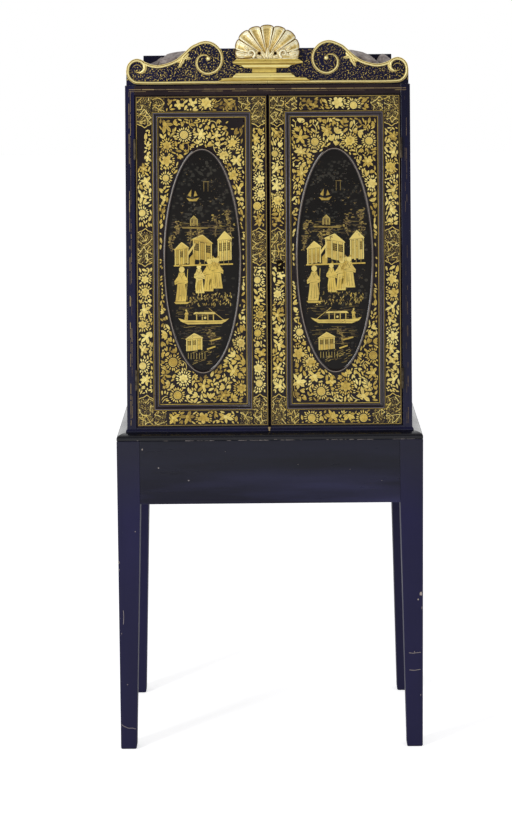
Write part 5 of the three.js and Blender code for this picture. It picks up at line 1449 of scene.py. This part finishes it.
# chips and rubs on the stand, as thin irregular flakes of the wood below: x, z, width and height in millimetres
standChips = {"apron": ((-274.7, 646.2, 2.8, 4.4), (-240, 606.3, 4.4, 2.2), (-175.7, 578.9, 3.8, 2.8),
                        (60, 611, 1.4, 0.8), (172, 600, 1.8, 0.9), (-96, 640, 2.2, 0.7), (240, 575, 2.0, 0.8)),
              "leg": ((-327, 404, 3.4, 7), (-326, 388, 2.4, 3), (-291, 470, 1.6, 2.4), (-322, 250, 1.4, 3),
                      (323, 330, 5, 9), (317, 318, 3.4, 4), (325, 300, 2, 6), (308, 205, 1.4, 2.6),
                      (-310, 140, 1.6, 2.2), (321, 112, 1.6, 3.4)),
              "cracks": (((-324, 54), (-318, 50), (-309, 46), (-300, 46), (-293, 44)),
                         ((296, 203), (306, 202), (322, 204)), ((297, 166), (308, 165), (321, 167)),
                         ((-318, 300), (-317, 286), (-318, 270))),
              # rubbed lines along the ledge, pale dashes that are partly a painted highlight: height, start, what is
              # left of them and their widths
              "rubs": ((0.6642, -0.236, 0.62, (0.0003, 0.0009)), (0.6655, -0.30, 0.2, (0.0003, 0.0006))),
              "rubEnd": 0.31, "crackWidth": 0.0009, "topFace": 0.212, "footFace": 0.207, "taperTop": 0.528}


def legFace(z):
    share = min(1, max(0, z / standChips["taperTop"]))
    return -(standChips["footFace"] + (standChips["topFace"] - standChips["footFace"]) * share)


def flake(x, z, wide, tall, rng):
    turn = rng.uniform(0, 1)
    return [(x * 0.001 + wide * 0.0005 * math.cos(turn + i * 2 * math.pi / 9) * rng.uniform(0.6, 1.2),
             z * 0.001 + tall * 0.0005 * math.sin(turn + i * 2 * math.pi / 9) * rng.uniform(0.6, 1.2))
            for i in range(9)]


def chipStand():
    rng = random.Random(41)
    apron, leg = (toned([flake(*spot, rng) for spot in standChips[part]]) for part in ("apron", "leg"))
    for crack in standChips["cracks"]:
        leg += toned(strokes([(x * 0.001, z * 0.001) for x, z in crack], standChips["crackWidth"]))
    ledge = []
    # pale dashes on the ledge's edge: rubbed wear with a painted highlight
    for z, start, keep, widths in standChips["rubs"]:
        for x, length in leftOfLine(rng, start, standChips["rubEnd"], (0.002, 0.02), keep, (0.001, 0.009)):
            ledge += toned([stroke((x, z), (x + length, z + rng.uniform(-0.0002, 0.0002)), rng.uniform(*widths),
                                   0.0003)])
    front = -standChips["topFace"]
    for name, marks, faceY in (("apronChips", apron, front), ("legChips", leg, legFace), ("ledgeRubAndHighlight", ledge, front)):
        giltSheet(name, marks, faceY, "cabinet", "bare_wood", "rawEdge")


chipStand()
print("case lines and chips laid")


# floor, lights and backdrop
stageSettings = {"floorSize": 30, "floorColour": (0.86, 0.86, 0.87), "floorGlow": 0.62, "worldColour": (1, 1, 1),
                 "worldLevel": 0.46, "roomFront": 0.2, "backdrop": 1.4, "keyPower": 112, "fillPower": 26}
bpy.ops.mesh.primitive_plane_add(size=stageSettings["floorSize"], location=(0, 0, 0))
floor = bpy.context.object
floor.name = "floor"
floorMaterial, tree, shader = freshMaterial("paleFloor")
plug(tree, shader, {"Base Color": (*stageSettings["floorColour"], 1), "Roughness": 0.8, "Specular IOR Level": 0.1})
# to the camera alone the floor glows a little
glow = addNode(tree, "Emission", {"Strength": stageSettings["floorGlow"]})
added = addNode(tree, "AddShader", {0: shader.outputs[0], 1: glow.outputs[0]})
lookedAt = addNode(tree, "MixShader", {"Fac": addNode(tree, "LightPath").outputs["Is Camera Ray"],
                                       1: shader.outputs[0], 2: added.outputs[0]})
plug(tree, next(n for n in tree.nodes if n.type == "OUTPUT_MATERIAL"), {"Surface": lookedAt.outputs[0]})
floor.data.materials.append(floorMaterial)

world = bpy.data.worlds.new("studio")
bpy.context.scene.world = world
world.use_nodes = True
tree = world.node_tree
tree.nodes.clear()
rays = addNode(tree, "LightPath").outputs
evenLight = addNode(tree, "Background", {"Color": (*stageSettings["worldColour"], 1),
                                         "Strength": stageSettings["worldLevel"]})
whiteGround = addNode(tree, "Background", {"Color": (1, 1, 1, 1), "Strength": 1})
# what gloss reflects: a dim room in front, the lit backdrop behind
depth = addNode(tree, "SeparateXYZ", {0: addNode(tree, "TexCoord").outputs["Generated"]}).outputs["Y"]
level = addNode(tree, "MapRange", {"Value": depth, "From Min": -0.3, "From Max": 0.35,
                                   "To Min": stageSettings["roomFront"], "To Max": stageSettings["backdrop"]})
room = addNode(tree, "Background", {"Strength": level.outputs[0]})
glossed = addNode(tree, "MixShader", {"Fac": rays["Is Glossy Ray"], 1: evenLight.outputs[0], 2: room.outputs[0]})
seen = addNode(tree, "MixShader", {"Fac": rays["Is Camera Ray"], 1: glossed.outputs[0], 2: whiteGround.outputs[0]})
addNode(tree, "OutputWorld", {"Surface": seen.outputs[0]})


def softLight(name, place, aim, wide, tall, power):
    bpy.ops.object.light_add(type="AREA", location=place)
    light = bpy.context.object
    light.name = name
    light.data.shape = "RECTANGLE"
    light.data.size, light.data.size_y, light.data.energy = wide, tall, power
    light.rotation_euler = (Vector(aim) - Vector(place)).to_track_quat("-Z", "Y").to_euler()


softLight("keyLight", (-3.1, -3.4, 2.3), (0, 0, 1.0), 0.8, 3.8, stageSettings["keyPower"])
softLight("fillLight", (3.0, -3.0, 2.2), (0, 0, 0.9), 2.2, 2.2, stageSettings["fillPower"])
print("stage set")
